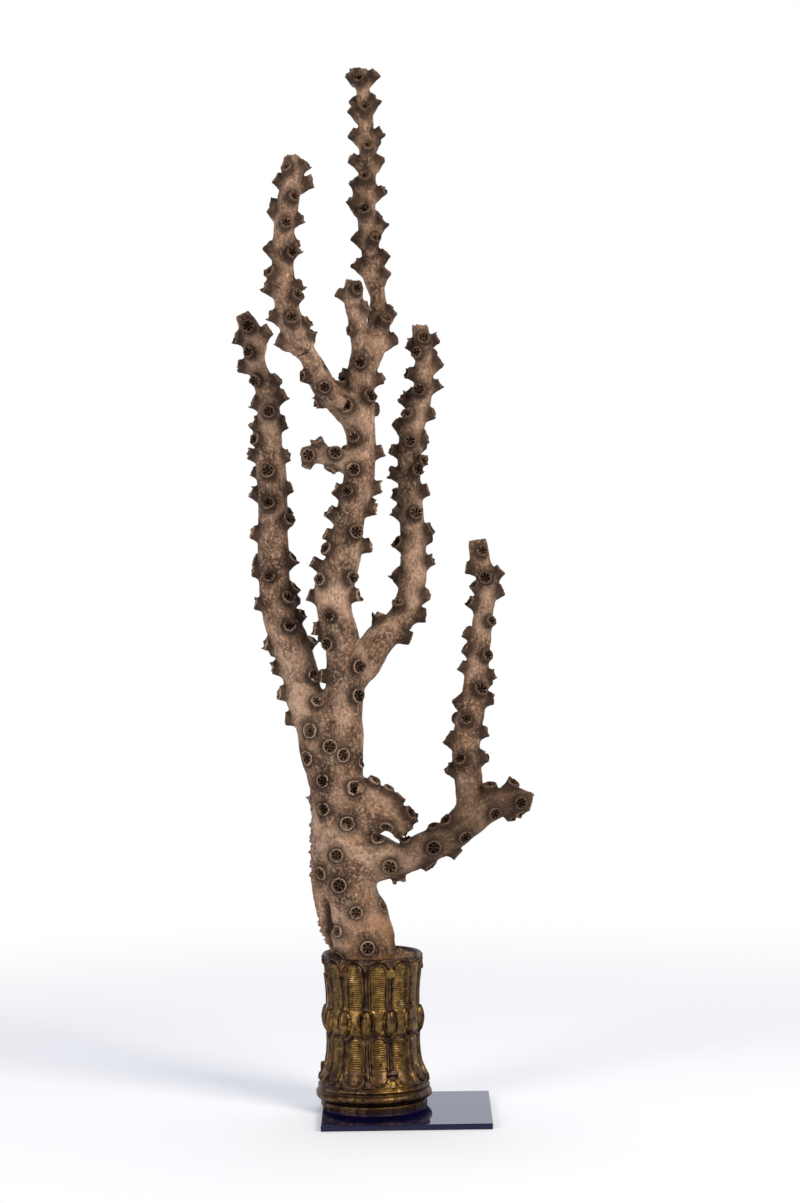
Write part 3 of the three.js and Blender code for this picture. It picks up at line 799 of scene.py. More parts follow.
# marks: painted shade round a cup, by how near a point is to it; how much a point is on a lip;
# and painted shade by how deep a point is in a hollow.
# ribs: the turn round the nearest cup, as a cosine and a sine, and how much it counts.
SHADE_HALO = 3.1  # mm over which the painted shade round a cup fades
shade_and_lips = np.zeros((len(spots), 3), np.float32)
ribs = np.zeros((len(spots), 3), np.float32)
for foot, axis, size, reach in cups:
    mouth = foot + axis * reach
    near = np.flatnonzero((abs(spots - mouth) < 3.2 * size + reach).all(1))
    off = spots[near] - mouth
    rise = off @ axis
    flat = off - rise[:, None] * axis
    out = np.linalg.norm(flat, axis=1)
    below = np.clip(-rise, 0, None)
    # Painted shade round the cup fades with the distance beyond its mouth and skirt. Within the mouth it
    # holds at a middle strength, and deep in the mouth it is painted darker, a little less so at the
    # middle.
    beyond = np.hypot(np.clip(out - size, 0, None), np.clip(below - reach - 1, 0, None) * 1.5)
    shade_halo = np.exp(-beyond / SHADE_HALO) * np.clip(1.2 - 0.08 * abs(rise), 0, 1)
    in_mouth = (out < HOLLOW_SHARE * size) & (below < bore(reach) + 0.3)
    lip_share = (rise > -0.9) * (rise < 2.2) * np.clip((1.1 - out / size) / 0.1, 0, 1)
    lip_share = lip_share * (out > (HOLLOW_SHARE + 0.01) * size)
    inside = np.clip((-rise - 1.0) / 0.9, 0, 1) * in_mouth
    inside *= 0.55 + 0.45 * np.clip((out / size - 0.3) / 0.3, 0, 1)
    shade_halo = np.where(in_mouth, 0.35, shade_halo)
    shade_and_lips[near, 0] = np.maximum(shade_and_lips[near, 0], shade_halo * (out < 3 * size))
    shade_and_lips[near, 1] = np.maximum(shade_and_lips[near, 1], lip_share)
    shade_and_lips[near, 2] = np.maximum(shade_and_lips[near, 2], inside)
    across = np.cross(axis, (0.0, 0.0, 1.0) if abs(axis[2]) < 0.8 else (1.0, 0.0, 0.0))
    across /= np.linalg.norm(across)
    other = np.cross(axis, across)
    skirt = (out > 0.8 * size) & (out < 1.7 * size) & (rise > -reach - 1.5) & (rise < 1.5)
    won = near[skirt]
    ribs[won, 0] = (flat[skirt] @ across) / out[skirt]
    ribs[won, 1] = (flat[skirt] @ other) / out[skirt]
    ribs[won, 2] = np.clip(1.6 - out[skirt] / size, 0, 1)
span, wander = furrow(owner, grain)[1:]
# The furrow's bottom is painted dark as shade, in the same channel as the shade round the cups.
shade_and_lips[:, 0] = np.maximum(shade_and_lips[:, 0], 1.5 * span * np.exp(-((0.8 * wander) ** 2)))


def corners_of(mesh):
    """Every face as (first corner, corner count) and the point of every corner."""
    starts = np.empty(len(mesh.polygons), np.int32)
    counts = np.empty(len(mesh.polygons), np.int32)
    points = np.empty(len(mesh.loops), np.int32)
    mesh.polygons.foreach_get("loop_start", starts)
    mesh.polygons.foreach_get("loop_total", counts)
    mesh.loops.foreach_get("vertex_index", points)
    return starts, counts, points


starts, counts, points = corners_of(colony.data)
face_owner = owner[points[starts]]


def tidy_owners():
    """Gives stray islands of faces to their neighbours, so that each branch is one patch."""
    face_of_corner = np.repeat(np.arange(len(starts)), counts)
    following = np.arange(len(points)) + 1
    following[starts + counts - 1] = starts
    after = points[following]
    key = np.minimum(points, after).astype(np.int64) * len(spots) + np.maximum(points, after)
    order = np.argsort(key, kind="stable")
    twins = np.flatnonzero(key[order][:-1] == key[order][1:])
    one_side = face_of_corner[order[twins]]
    other_side = face_of_corner[order[twins + 1]]
    for _ in range(4):
        same = face_owner[one_side] == face_owner[other_side]
        patch = np.arange(len(starts))
        one = one_side[same]
        other = other_side[same]
        while True:
            least = np.minimum(patch[one], patch[other])
            before = patch.copy()
            np.minimum.at(patch, one, least)
            np.minimum.at(patch, other, least)
            patch = patch[patch]
            if (patch == before).all():
                break
        names, sizes = np.unique(patch, return_counts=True)
        biggest = {}
        for name, size in zip(names, sizes):
            who = face_owner[name]
            if size > biggest.get(who, (0, 0))[0]:
                biggest[who] = (size, name)
        kept = np.isin(patch, [name for _, name in biggest.values()])
        if kept.all():
            break
        for stray, neighbour in ((one_side, other_side), (other_side, one_side)):
            move = ~kept[stray] & kept[neighbour]
            face_owner[stray[move]] = face_owner[neighbour[move]]


tidy_owners()


def branch_piece(number, name):
    """One branch cut out of the colony, its seams closed by hidden caps."""
    own = np.flatnonzero(face_owner == number)
    rows = [points[starts[f] : starts[f] + counts[f]] for f in own]
    edges = {}
    for row in rows:
        for a, b in zip(row, np.roll(row, -1)):
            if (b, a) in edges:
                del edges[(b, a)]
            else:
                edges[(a, b)] = True
    follows = {}
    for a, b in edges:
        follows.setdefault(b, []).append(a)
    used = np.unique(np.concatenate(rows))
    new = dict(zip(used.tolist(), range(len(used))))
    body = spots[used].tolist()
    faces = [[new[int(v)] for v in row] for row in rows]
    extra = []
    while follows:
        start = next(iter(follows))
        loop, here = [start], start
        while True:
            after = follows[here].pop()
            if not follows[here]:
                del follows[here]
            if after == start:
                break
            loop.append(after)
            here = after
        body.append(np.mean([spots[v] for v in loop], axis=0).tolist())
        extra.append(loop[0])
        for a, b in zip(loop, loop[1:] + loop[:1]):
            faces.append([new[int(a)], new[int(b)], len(body) - 1])
    piece = mesh_object(name.replace("coral_", "skeleton_"), body, faces)
    every = np.concatenate([used, extra]).astype(int)
    keep_field(piece.data, "grain", "FLOAT_VECTOR", grain[every])
    keep_field(piece.data, "shade_and_lips", "FLOAT_VECTOR", shade_and_lips[every])
    keep_field(piece.data, "ribs", "FLOAT_VECTOR", ribs[every])
    piece.data.shade_smooth()
    piece.data.set_sharp_from_angle(angle=math.radians(50))
    piece.data.materials.append(coral_finish)
    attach(piece, "root")
    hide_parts(name)
    return piece


for number, name in enumerate(NAMES):
    branch_piece(number, name)
bpy.data.objects.remove(colony)


# Dry coral: limestone left matt and stained brown, so it gives no gloss. It is paler low down and
# greyer at the thin ends, mottled in patches 13 and 26 mm across, freckled by 1.6 mm, and grained
# along the branch, with pale lips on the trunk. Shade is painted in as dark round the cups, along
# the furrow's bottom and deep in the cups' hollows.
def coral_material(material):
    """Builds the coral's node tree."""
    material.use_nodes = True
    tree = material.node_tree
    shader = tree.nodes["Principled BSDF"]
    shader.inputs["Roughness"].default_value = 0.82
    shader.inputs["Specular IOR Level"].default_value = 0.28
    place = add(tree, "ShaderNodeTexCoord").outputs["Object"]
    across, _, height = add(tree, "ShaderNodeSeparateXYZ", {"Vector": place}).outputs
    grain, shade_and_lips, ribs = (
        add(tree, "ShaderNodeAttribute", attribute_name=name).outputs["Vector"]
        for name in ("grain", "shade_and_lips", "ribs")
    )
    # Painted shade round the cups and along the furrow, the lips, and painted shade deep in the hollows.
    near, lip, inside = add(tree, "ShaderNodeSeparateXYZ", {"Vector": shade_and_lips}).outputs
    drawn_out = {0: grain, 1: (1.0, 1.0, 0.4)}
    stretched = add(tree, "ShaderNodeVectorMath", drawn_out, operation="MULTIPLY").outputs[0]
    broad, patch, streak, speckle, fine = (
        add(tree, "ShaderNodeTexNoise", {
            "Vector": vector, "Scale": scale, "Detail": detail, "Distortion": distortion,
        }).outputs[0]
        for vector, scale, detail, distortion in (
            (place, 75.0, 4.0, 0.0),
            (place, 38.0, 3.0, 0.6),
            (stretched, 0.8, 5.0, 0.0),
            (place, 620.0, 2.0, 0.0),
            (stretched, 1.3, 4.0, 0.0),
        )
    )

    # Where a stain is: on the low limb, in the gilt dust on the trunk's foot, on the trunk's lips.
    # Each zone is the product of steps, as (value, none at, whole at).
    zones = []
    for steps in (
        [(across, -0.012, 0.012), (height, 0.225, 0.19)],
        [(height, 0.128, 0.088), (patch, 0.4, 0.6), (across, -0.042, -0.015)],
        [(lip, 0.25, 0.9), (height, 0.45, 0.2), (across, 0.0, -0.02)],
    ):
        zone = 1.0
        for value, none, whole in steps:
            step = {"Value": value, "From Min": none, "From Max": whole}
            share = add(tree, "ShaderNodeMapRange", step).outputs[0]
            zone = add(tree, "ShaderNodeMath", {0: share, 1: zone}, operation="MULTIPLY").outputs[0]
        zones.append(zone)
    limb, gilt_dust, pale_lip = zones

    # Stains and painted shade laid over the base colour in turn: (value, none at, whole at, most, colour).
    up = {"Value": height, "From Min": 0.1, "From Max": 0.55}
    up = add(tree, "ShaderNodeMapRange", up).outputs[0]
    base = ((0.0, "#876850"), (0.4, "#705542"), (1.0, "#957660"))
    colour = add(tree, "ShaderNodeValToRGB", {"Fac": up}, base).outputs["Color"]
    for value, none, whole, most, code in (
        (broad, 0.44, 0.6, 0.92, "#3b281c"),
        (patch, 0.47, 0.66, 0.76, "#c2a189"),
        (streak, 0.53, 0.75, 0.6, "#4b372b"),
        (streak, 0.47, 0.27, 0.45, "#d0b39b"),
        (speckle, 0.54, 0.7, 0.55, "#3a2619"),
        (speckle, 0.46, 0.3, 0.45, "#d3b49a"),
        (limb, 0.0, 1.0, 0.6, "#46331f"),
        (gilt_dust, 0.05, 0.6, 0.8, "#8a5a22"),
        # Painted shade: dark round each cup and along the furrow's bottom.
        (near, 0.06, 0.8, 0.88, "#28180e"),
        (lip, 0.25, 0.9, 0.5, "#8a6e59"),
        (pale_lip, 0.0, 1.0, 0.65, "#b89e8a"),
        # Painted shade: near black deep in each cup's hollow.
        (inside, 0.1, 1.0, 0.95, "#190d07"),
    ):
        share = {"Value": value, "From Min": none, "From Max": whole, "To Max": most}
        share = add(tree, "ShaderNodeMapRange", share).outputs[0]
        stain = {0: share, 6: colour, 7: srgb(code)}
        colour = add(tree, "ShaderNodeMix", stain, data_type="RGBA").outputs[2]
    tree.links.new(colour, shader.inputs["Base Color"])

    # Pores 1.1 mm apart, the fine grain, and twenty ribs round each cup.
    pores = add(tree, "ShaderNodeTexVoronoi", {"Vector": grain, "Scale": 0.9}).outputs["Distance"]
    cosine, sine, counts_here = add(tree, "ShaderNodeSeparateXYZ", {"Vector": ribs}).outputs
    turn = add(tree, "ShaderNodeMath", {0: sine, 1: cosine}, operation="ARCTAN2").outputs[0]
    turn = add(tree, "ShaderNodeMath", {0: turn, 1: 20.0}, operation="MULTIPLY").outputs[0]
    wave = add(tree, "ShaderNodeMath", {0: turn}, operation="SINE").outputs[0]
    wave = add(tree, "ShaderNodeMath", {0: wave, 1: counts_here}, operation="MULTIPLY").outputs[0]
    relief = fine
    for part, much in ((pores, 0.35), (wave, 0.25)):
        layer = {0: part, 1: much, 2: relief}
        relief = add(tree, "ShaderNodeMath", layer, operation="MULTIPLY_ADD").outputs[0]
    bump = add(tree, "ShaderNodeBump", {"Height": relief, "Strength": 0.55, "Distance": 0.5 * MM})
    tree.links.new(bump.outputs[0], shader.inputs["Normal"])


coral_material(coral_finish)

# ---------------------------------------------------------------- ferrule
# A collar cast in bronze and gilt: twelve arched, ribbed panels over twelve ribbed panels with
# round feet, pilasters between them, a band of pointed cabochons round the middle and a moulded
# foot. The gilding is bright in the panels and on the band, and worn to brown on the pilasters.
plate_low, plate_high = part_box("plate")
collar_low, collar_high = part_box("ferrule")
collar_middle = (collar_low + collar_high) / 2
AXIS = np.array([collar_middle.x, collar_middle.y, plate_high.z]) / MM
HEIGHT = (collar_high.z - plate_high.z) / MM
PANELS = 12
PANEL_TURN = 360 / PANELS
FIRST_PANEL = -82.5  # azimuth of the panel just right of the front, degrees
WALL = np.array([  # height over the plate, radius
    (0, 31.6), (2.4, 31.7), (2.8, 31.2), (3.1, 30.4), (3.6, 30.4), (3.9, 32.2), (4.7, 33.7), (6, 34.5),
    (7.5, 34.5), (8.8, 33.9), (9.6, 32.7), (10.1, 32.6), (10.7, 33.1), (11.6, 33.4), (12.5, 33.0),
    (13.2, 32.1), (14.5, 32.3), (17, 31.9), (20, 30.5), (23, 29.1), (26, 28.1), (31, 27.3), (37.5, 26.9),
    (43, 27.0), (47, 27.6), (52, 27.9), (57, 27.6), (61, 27.0), (66, 27.0), (74, 27.6), (84, 28.8),
    (88, 29.4), (HEIGHT - 0.6, 29.6), (HEIGHT, 29.2),
])
BORE = [(HEIGHT, 28.2), (HEIGHT - 0.8, 27.3), (HEIGHT - 6, 26.4), (HEIGHT - 10, 25.4), (30, 25), (0, 25)]
UPPER = {"half": 5.8, "low": 50.0, "high": 87.6}
LOWER = {"half": 6.0, "low": 15.0, "high": 44.0}
GEM = {"middle": 51.6, "half": 4.6, "point": 8.6, "crown": 7.8}
OUTSIDE = -9  # a depth far outside an outline


def ridge(value, at, width):
    """A rounded ridge of unit height."""
    return np.exp(-(((value - at) / width) ** 2))


def panel_depth(aside, height, spec, round_foot):
    """How far inside a panel's outline a point is, in mm; negative outside."""
    crown = spec["high"] - spec["half"]
    arch = spec["half"] - np.hypot(aside, np.clip(height - crown, 0, None))
    if round_foot:
        foot = spec["low"] + spec["half"]
        bowl = spec["half"] - np.hypot(aside, np.clip(foot - height, 0, None))
        return np.where(height < foot, bowl, arch)
    return arch


def ferrule_relief(turn, height, radius):
    """(relief in mm, gilding, ribbing, grime) at an azimuth in degrees and a height.

    Panels and cabochons are drawn by how deep a point is inside their outline, in mm.
    """
    away = (turn - FIRST_PANEL + PANEL_TURN / 2) % PANEL_TURN - PANEL_TURN / 2
    aside = np.radians(away) * radius
    beside = np.radians(PANEL_TURN / 2 - abs(away)) * radius
    relief = 0.35 * ridge(beside, 0, 0.9)
    gold = 0.3 + 0 * height
    ribbed = 0 * height
    grime_and_shade = 0 * height

    # The two rows of panels: a raised frame between two grooves, and a field that swells a little.
    for spec, round_foot in ((UPPER, False), (LOWER, True)):
        deep = panel_depth(aside, height, spec, round_foot)
        own_side = height > GEM["middle"] if spec is UPPER else height < GEM["middle"]
        deep = np.where(own_side, deep, OUTSIDE)
        plain_foot = smooth(height, spec["low"] + 8, spec["low"] + 10)
        plain_head = smooth(-height, 2.6 - spec["high"], 3.4 - spec["high"])
        field = smooth(deep, 1.2, 1.7)
        groove = ridge(deep, -0.35, 0.3) + ridge(deep, 1.45, 0.26)
        relief = relief + 1.1 * ridge(deep, 0.6, 0.62) - 0.35 * groove + field * (0.1 - 0.02 * aside**2)
        gold = np.maximum(gold, 0.72 * ridge(deep, 0.6, 0.5))
        kept = np.where(height < GEM["middle"], 0.55 + 0.45 * plain_foot, 1)
        gold = np.maximum(gold, 0.85 * field * kept)
        ribbed = np.maximum(ribbed, smooth(deep, 1.5, 1.9) * plain_foot * plain_head)
        grime_and_shade = np.maximum(grime_and_shade, 0.35 * groove)
        echo = ridge(deep, -1.7, 0.45) * smooth(height, 76, 80)
        relief = relief + 0.8 * echo
        gold = np.maximum(gold, 0.75 * echo)

    # The band and its cabochons: pointed below, rounded above, each in a raised setting.
    rise = height - GEM["middle"]
    point = 1 - np.clip(-rise / GEM["point"], 0, 1) ** 2.2
    crown = np.sqrt(1 - np.clip(rise / GEM["crown"], 0, 1) ** 3)
    deep = GEM["half"] * np.minimum(point, crown) - beside
    deep = np.where((rise > -GEM["point"]) & (rise < GEM["crown"]), deep, OUTSIDE)
    stone = smooth(deep, 0.9, 1.2)
    band = smooth(height, 43.4, 46) * smooth(-height, -61.5, -58)
    strip = 0.35 + 0.35 * ridge(abs(aside), 2.9, 0.4)
    relief = relief * (1 - band) + strip * band
    relief = np.where(deep > -0.3, 0.5 * smooth(deep, -0.3, 0.1), relief)
    relief = relief + 1.1 * ridge(deep, 0.5, 0.45) + stone * (2.7 - 0.24 * beside**2 - 0.022 * rise**2)
    edge = ridge(deep, -0.45, 0.35) + ridge(deep, 1.15, 0.25)
    relief = relief - 0.5 * edge
    gold = np.where(deep > 0, 0.5 + 0.4 * ridge(deep, 0.5, 0.4), np.maximum(gold, 0.72 * band))
    ribbed = ribbed * (1 - band)
    grime_and_shade = np.maximum(grime_and_shade * (1 - band), 0.45 * edge)

    # Darts between the lower panels' feet, leaves between the upper panels' heads, and the foot.
    half_dart = np.clip(2.4 * (22 - height) / 7, 0.05, None)
    dart = np.clip(1 - beside / half_dart, 0, 1) * smooth(height, 13.4, 14.2) * (height < 22)
    half_leaf = np.clip((height - 81) / 3.4, 0.05, None)
    leaf = np.clip(1 - beside / half_leaf, 0, 1) * smooth(-height, -88.6, -87.6) * (height > 81)
    relief = relief + 1.1 * dart + 0.9 * leaf
    gold = np.maximum(gold, 0.55 * np.maximum(dart, leaf))
    gold = np.maximum(gold, 0.5 * smooth(-height, -14.5, -12))
    foot_grooves = ridge(height, 3.5, 0.6) + 0.6 * ridge(height, 9.9, 0.4) + 0.5 * ridge(height, 13.6, 0.4)
    grime_and_shade = np.maximum(grime_and_shade, foot_grooves)
    return relief, np.clip(gold, 0, 1), ribbed, np.clip(grime_and_shade, 0, 1)


TURNS = np.arange(480) * 0.75
FINE, COARSE = 0.42, 0.75  # mm between rings, where the relief is busy and where it is plain
LEVELS = np.concatenate([
    np.arange(0, 24, FINE), np.arange(24, 42, COARSE), np.arange(42, 61.5, FINE),
    np.arange(61.5, 80, COARSE), np.arange(80, HEIGHT - 1, FINE), [HEIGHT - 0.6, HEIGHT],
])
turn_grid, level_grid = np.meshgrid(TURNS, LEVELS)
wall_radius = np.interp(level_grid, WALL[:, 0], WALL[:, 1])
relief = ferrule_relief(turn_grid, level_grid, wall_radius)[0]
wall_radius = wall_radius + relief * smooth(HEIGHT - level_grid, 0.0, 1.0)
for bore_level, bore_radius in BORE:
    level_grid = np.vstack([level_grid, np.full(len(TURNS), bore_level)])
    wall_radius = np.vstack([wall_radius, np.full(len(TURNS), bore_radius)])
turn_grid = np.broadcast_to(np.radians(TURNS), level_grid.shape)
wall_x = wall_radius * np.cos(turn_grid)
wall_y = wall_radius * np.sin(turn_grid)
verts = np.stack([wall_x, wall_y, level_grid], -1) + AXIS
here = np.arange(level_grid.size).reshape(level_grid.shape)
beside = np.roll(here, -1, axis=1)
faces = np.stack([here, beside, np.roll(beside, -1, axis=0), np.roll(here, -1, axis=0)], -1)
ferrule = mesh_object("gilt_ferrule", verts.reshape(-1, 3), faces.reshape(-1, 4))

# The plugs' holes and the screws' seats, at the turns and heights of the plugs and screws.
PLUG_HOLE, SCREW_SEAT = 3.4, 3.3


def fitting(name):
    """A fitting's middle from the ferrule's foot, and its outward direction."""
    low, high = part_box(name)
    middle = np.array((low + high) / 2) / MM - AXIS
    out = np.array([middle[0], middle[1], 0]) / np.hypot(middle[0], middle[1])
    return middle, out


plugs = [fitting(f"rim_plug_{i}") for i in (1, 2, 3)]
screws = [fitting(f"screw_{i}") for i in (1, 2, 3)]
drill = unit_piece("drill", *lathe([(1, 0, 0), (1, 1, 0)], np.ones(40), 0, 1))
seats = [
    (AXIS + out * from_axis + [0, 0, middle[2]], out, (wide, wide, deep))
    for fittings, from_axis, wide, deep in ((plugs, 27.3, PLUG_HOLE, 5), (screws, 30, SCREW_SEAT, 6))
    for middle, out in fittings
]
gilt = bpy.data.materials.new("Old gilding on cast bronze")
drills = point_cloud("drills", seats)
run_tree(drills, cups_tree, **{"Piece": drill, "Lip raggedness": 0.0, "Finish": gilt})
carve(ferrule, drills)
bpy.data.objects.remove(drills)
bpy.data.objects.remove(drill)

# finish: gilding, ribbing and grime, with the gilding rubbed up round the front screw and painted paler
# there as a highlight.
spots = coordinates(ferrule.data) - AXIS
out = np.hypot(spots[:, 0], spots[:, 1])
turn = np.degrees(np.arctan2(spots[:, 1], spots[:, 0]))
wall = np.interp(spots[:, 2], WALL[:, 0], WALL[:, 1])
finish = np.stack(ferrule_relief(turn, spots[:, 2], wall)[1:], axis=1)
finish *= smooth(out, 26.3, 26.5)[:, None]
middle, way = screws[0]
# Round the front screw, below it and off the panels' fields, the gilding is rubbed up and painted pale as
# a highlight.
RUBBED_HIGHLIGHT = {"from_axis": 30, "below_screw": 6, "spread": (10, 10, 4)}
highlight_middle = way * RUBBED_HIGHLIGHT["from_axis"] + [0, 0, middle[2] - RUBBED_HIGHLIGHT["below_screw"]]
from_highlight = (spots - highlight_middle) / RUBBED_HIGHLIGHT["spread"]
rubbed_highlight = 0.8 * np.exp(-(np.linalg.norm(from_highlight, axis=1) ** 2))
aside = np.radians((turn - FIRST_PANEL + PANEL_TURN / 2) % PANEL_TURN - PANEL_TURN / 2)
aside *= RUBBED_HIGHLIGHT["from_axis"]
in_field = smooth(panel_depth(aside, spots[:, 2], LOWER, True), 0.6, 1.6)
finish[:, 0] = np.clip(finish[:, 0] + rubbed_highlight * (1 - 0.85 * in_field), 0, 1.4)
finish[:, 2] *= 1 - 0.5 * rubbed_highlight
keep_field(ferrule.data, "finish", "FLOAT_VECTOR", finish)
ferrule.data.materials.clear()
ferrule.data.materials.append(gilt)
ferrule.data.shade_smooth()
ferrule.data.set_sharp_from_angle(angle=math.radians(60))


# Gilding over cast bronze: dull gold where it survives, purplish brown where it is rubbed off,
# black in the grooves. The fields of the panels are chased with fine level ribs.
RIB_GAP = 1.3  # mm from rib to rib


def gilt_material(material):
    """Builds the gilding's node tree."""
    material.use_nodes = True
    tree = material.node_tree
    shader = tree.nodes["Principled BSDF"]
    shader.inputs["Metallic"].default_value = 1.0
    place = add(tree, "ShaderNodeTexCoord").outputs["Object"]
    finish = add(tree, "ShaderNodeAttribute", attribute_name="finish").outputs["Vector"]
    gilding, ribbing, grime_and_shade = add(tree, "ShaderNodeSeparateXYZ", {"Vector": finish}).outputs

    worn, waver, soot, pitted, uneven = (
        add(tree, "ShaderNodeTexNoise", {"Vector": place, "Scale": scale, "Detail": detail}).outputs[0]
        for scale, detail in ((240.0, 6.0), (160.0, 2.0), (380.0, 3.0), (800.0, 3.0), (230.0, 4.0))
    )

    # Gilding and its wear, in blotches 4 mm across, give the metal's colour.
    wear = {0: worn, 1: 1.8, 2: -0.92}
    wear = add(tree, "ShaderNodeMath", wear, operation="MULTIPLY_ADD").outputs[0]
    share = add(tree, "ShaderNodeMath", {0: gilding, 1: wear}, operation="ADD").outputs[0]
    tones = ((0.0, "#352822"), (0.3, "#544239"), (0.6, "#6c5334"), (0.9, "#87693a"), (1.0, "#9a7b48"))
    colour = add(tree, "ShaderNodeValToRGB", {"Fac": share}, tones).outputs["Color"]
    # Beyond full gilding the colour runs to pale gold: rubbed gilding painted paler as a highlight, mostly
    # round the front screw.
    rubbed_highlight = {"Value": share, "From Min": 1.05, "From Max": 1.45}
    rubbed_highlight = add(tree, "ShaderNodeMapRange", rubbed_highlight).outputs[0]
    bright = {0: rubbed_highlight, 6: colour, 7: srgb("#f0dcae")}
    colour = add(tree, "ShaderNodeMix", bright, data_type="RGBA").outputs[2]

    # The chased ribs waver a little; dirt lies in their troughs, in the grooves and in blotches.
    height = add(tree, "ShaderNodeSeparateXYZ", {"Vector": place}).outputs["Z"]
    waver = add(tree, "ShaderNodeMath", {0: waver, 1: 3.4}, operation="MULTIPLY").outputs[0]
    turns = {0: height, 1: 2 * math.pi / (RIB_GAP * MM), 2: waver}
    turns = add(tree, "ShaderNodeMath", turns, operation="MULTIPLY_ADD").outputs[0]
    rib = add(tree, "ShaderNodeMath", {0: turns}, operation="SINE").outputs[0]
    rib = add(tree, "ShaderNodeMath", {0: rib, 1: 0.5, 2: 0.5}, operation="MULTIPLY_ADD").outputs[0]
    rib = add(tree, "ShaderNodeMath", {0: rib, 1: 2.0}, operation="POWER").outputs[0]
    trough = add(tree, "ShaderNodeMath", {0: rib, 1: ribbing}, operation="MULTIPLY").outputs[0]
    soot = {"Value": soot, "From Min": 0.5, "From Max": 0.68, "To Max": 0.75}
    dirt = add(tree, "ShaderNodeMapRange", soot).outputs[0]
    for held, much in ((grime_and_shade, 0.85), (trough, 0.8)):
        layer = add(tree, "ShaderNodeMath", {0: held, 1: much}, operation="MULTIPLY").outputs[0]
        dirt = add(tree, "ShaderNodeMath", {0: dirt, 1: layer}, operation="MAXIMUM").outputs[0]
    dirtied_and_shaded = {0: dirt, 6: colour, 7: srgb("#170e07")}
    colour = add(tree, "ShaderNodeMix", dirtied_and_shaded, data_type="RGBA").outputs[2]
    tree.links.new(colour, shader.inputs["Base Color"])
    rough = {"Value": share, "From Min": 0.2, "From Max": 1.3, "To Min": 0.45, "To Max": 0.31}
    rough = add(tree, "ShaderNodeMapRange", rough).outputs[0]
    rough = {0: dirt, 1: 0.2, 2: rough}
    rough = add(tree, "ShaderNodeMath", rough, operation="MULTIPLY_ADD").outputs[0]
    tree.links.new(rough, shader.inputs["Roughness"])
    relief = uneven
    for part, much in ((pitted, 0.5), (trough, -1.0)):
        layer = {0: part, 1: much, 2: relief}
        relief = add(tree, "ShaderNodeMath", layer, operation="MULTIPLY_ADD").outputs[0]
    bump = add(tree, "ShaderNodeBump", {"Height": relief, "Strength": 0.55, "Distance": 0.4 * MM})
    tree.links.new(bump.outputs[0], shader.inputs["Normal"])


gilt_material(gilt)
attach(ferrule, "root")
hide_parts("ferrule")


# ---------------------------------------------------------------- screws and rim plugs
# Three slotted cheese-head screws through the foot of the ferrule, darkened steel, and three
# plain brass plugs sunk in the round holes under its rim.
def metal(name, low, high, rough):
    """A dull metal whose tone wanders between two colours, in blotches 3 mm across."""
    material = bpy.data.materials.new(name)
    material.use_nodes = True
    tree = material.node_tree
    shader = tree.nodes["Principled BSDF"]
    shader.inputs["Metallic"].default_value = 1.0
    place = add(tree, "ShaderNodeTexCoord").outputs["Object"]
    noise = add(tree, "ShaderNodeTexNoise", {"Vector": place, "Scale": 300.0, "Detail": 4.0}).outputs[0]
    tone = {"Fac": noise}
    tone = add(tree, "ShaderNodeValToRGB", tone, ((0.35, low), (0.65, high))).outputs["Color"]
    # Where a piece marks it, the colour goes near black: painted shade on a screw slot's floor.
    grime_and_shade = add(tree, "ShaderNodeAttribute", attribute_name="grime_and_shade").outputs["Fac"]
    dirtied_and_shaded = {0: grime_and_shade, 6: tone, 7: srgb("#140e0d")}
    dirtied_and_shaded = add(tree, "ShaderNodeMix", dirtied_and_shaded, data_type="RGBA").outputs[2]
    tree.links.new(dirtied_and_shaded, shader.inputs["Base Color"])
    span = {"Value": noise, "To Min": rough - 0.1, "To Max": rough + 0.15}
    span = add(tree, "ShaderNodeMapRange", span).outputs[0]
    tree.links.new(span, shader.inputs["Roughness"])
    bump = add(tree, "ShaderNodeBump", {"Height": noise, "Strength": 0.3, "Distance": 0.15 * MM})
    tree.links.new(bump.outputs[0], shader.inputs["Normal"])
    return material


SLOT = {"wide": 1.2, "floor": 0.5, "turn": 21}


def slotted_head():
    """A screw head of 3.2 mm radius with a domed top and a slot, on a short shank.

    The slot is turned so that the front screw's lies level once the head is on its seat.
    """
    rows = [
        (1.6, -2.0, 0), (1.6, 0.0, 0), (3.15, 0.02, 0), (3.2, 0.2, 0), (3.2, 1.1, 0), (2.9, 1.45, 0),
        (1.6, 1.7, 0),
    ]
    head = mesh_object("head", *lathe(rows, np.ones(40), -2.0, 1.8))
    half = SLOT["wide"] / 2
    slot = mesh_object("slot", *box_mesh((-4, -half, SLOT["floor"]), (4, half, 3)))
    slot.data.transform(Matrix.Rotation(math.radians(SLOT["turn"]), 4, "Z"))
    carve(head, slot)
    bpy.data.objects.remove(slot)
    spots = coordinates(head.data)
    # The slot's floor is marked to be painted near black, as shade.
    keep_field(head.data, "grime_and_shade", "FLOAT", abs(spots[:, 2] - SLOT["floor"]) < 0.1)
    return head


def box_mesh(low, high):
    """A plain box as (verts, faces)."""
    verts = [(x, y, z) for z in (low[2], high[2]) for y in (low[1], high[1]) for x in (low[0], high[0])]
    faces = [(0, 2, 3, 1), (4, 5, 7, 6), (0, 1, 5, 4), (2, 6, 7, 3), (0, 4, 6, 2), (1, 3, 7, 5)]
    return np.array(verts, float), faces


def set_pieces(name, piece, rows, finish, replaced):
    """Copies of a piece on their seats, as one mesh that stands for their CAD nodes."""
    thing = point_cloud(name, rows)
    run_tree(thing, cups_tree, **{"Piece": piece, "Lip raggedness": 0.0, "Finish": finish})
    bpy.data.objects.remove(piece)
    thing.data.shade_smooth()
    thing.data.set_sharp_from_angle(angle=math.radians(35))
    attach(thing, "root")
    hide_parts(*replaced)


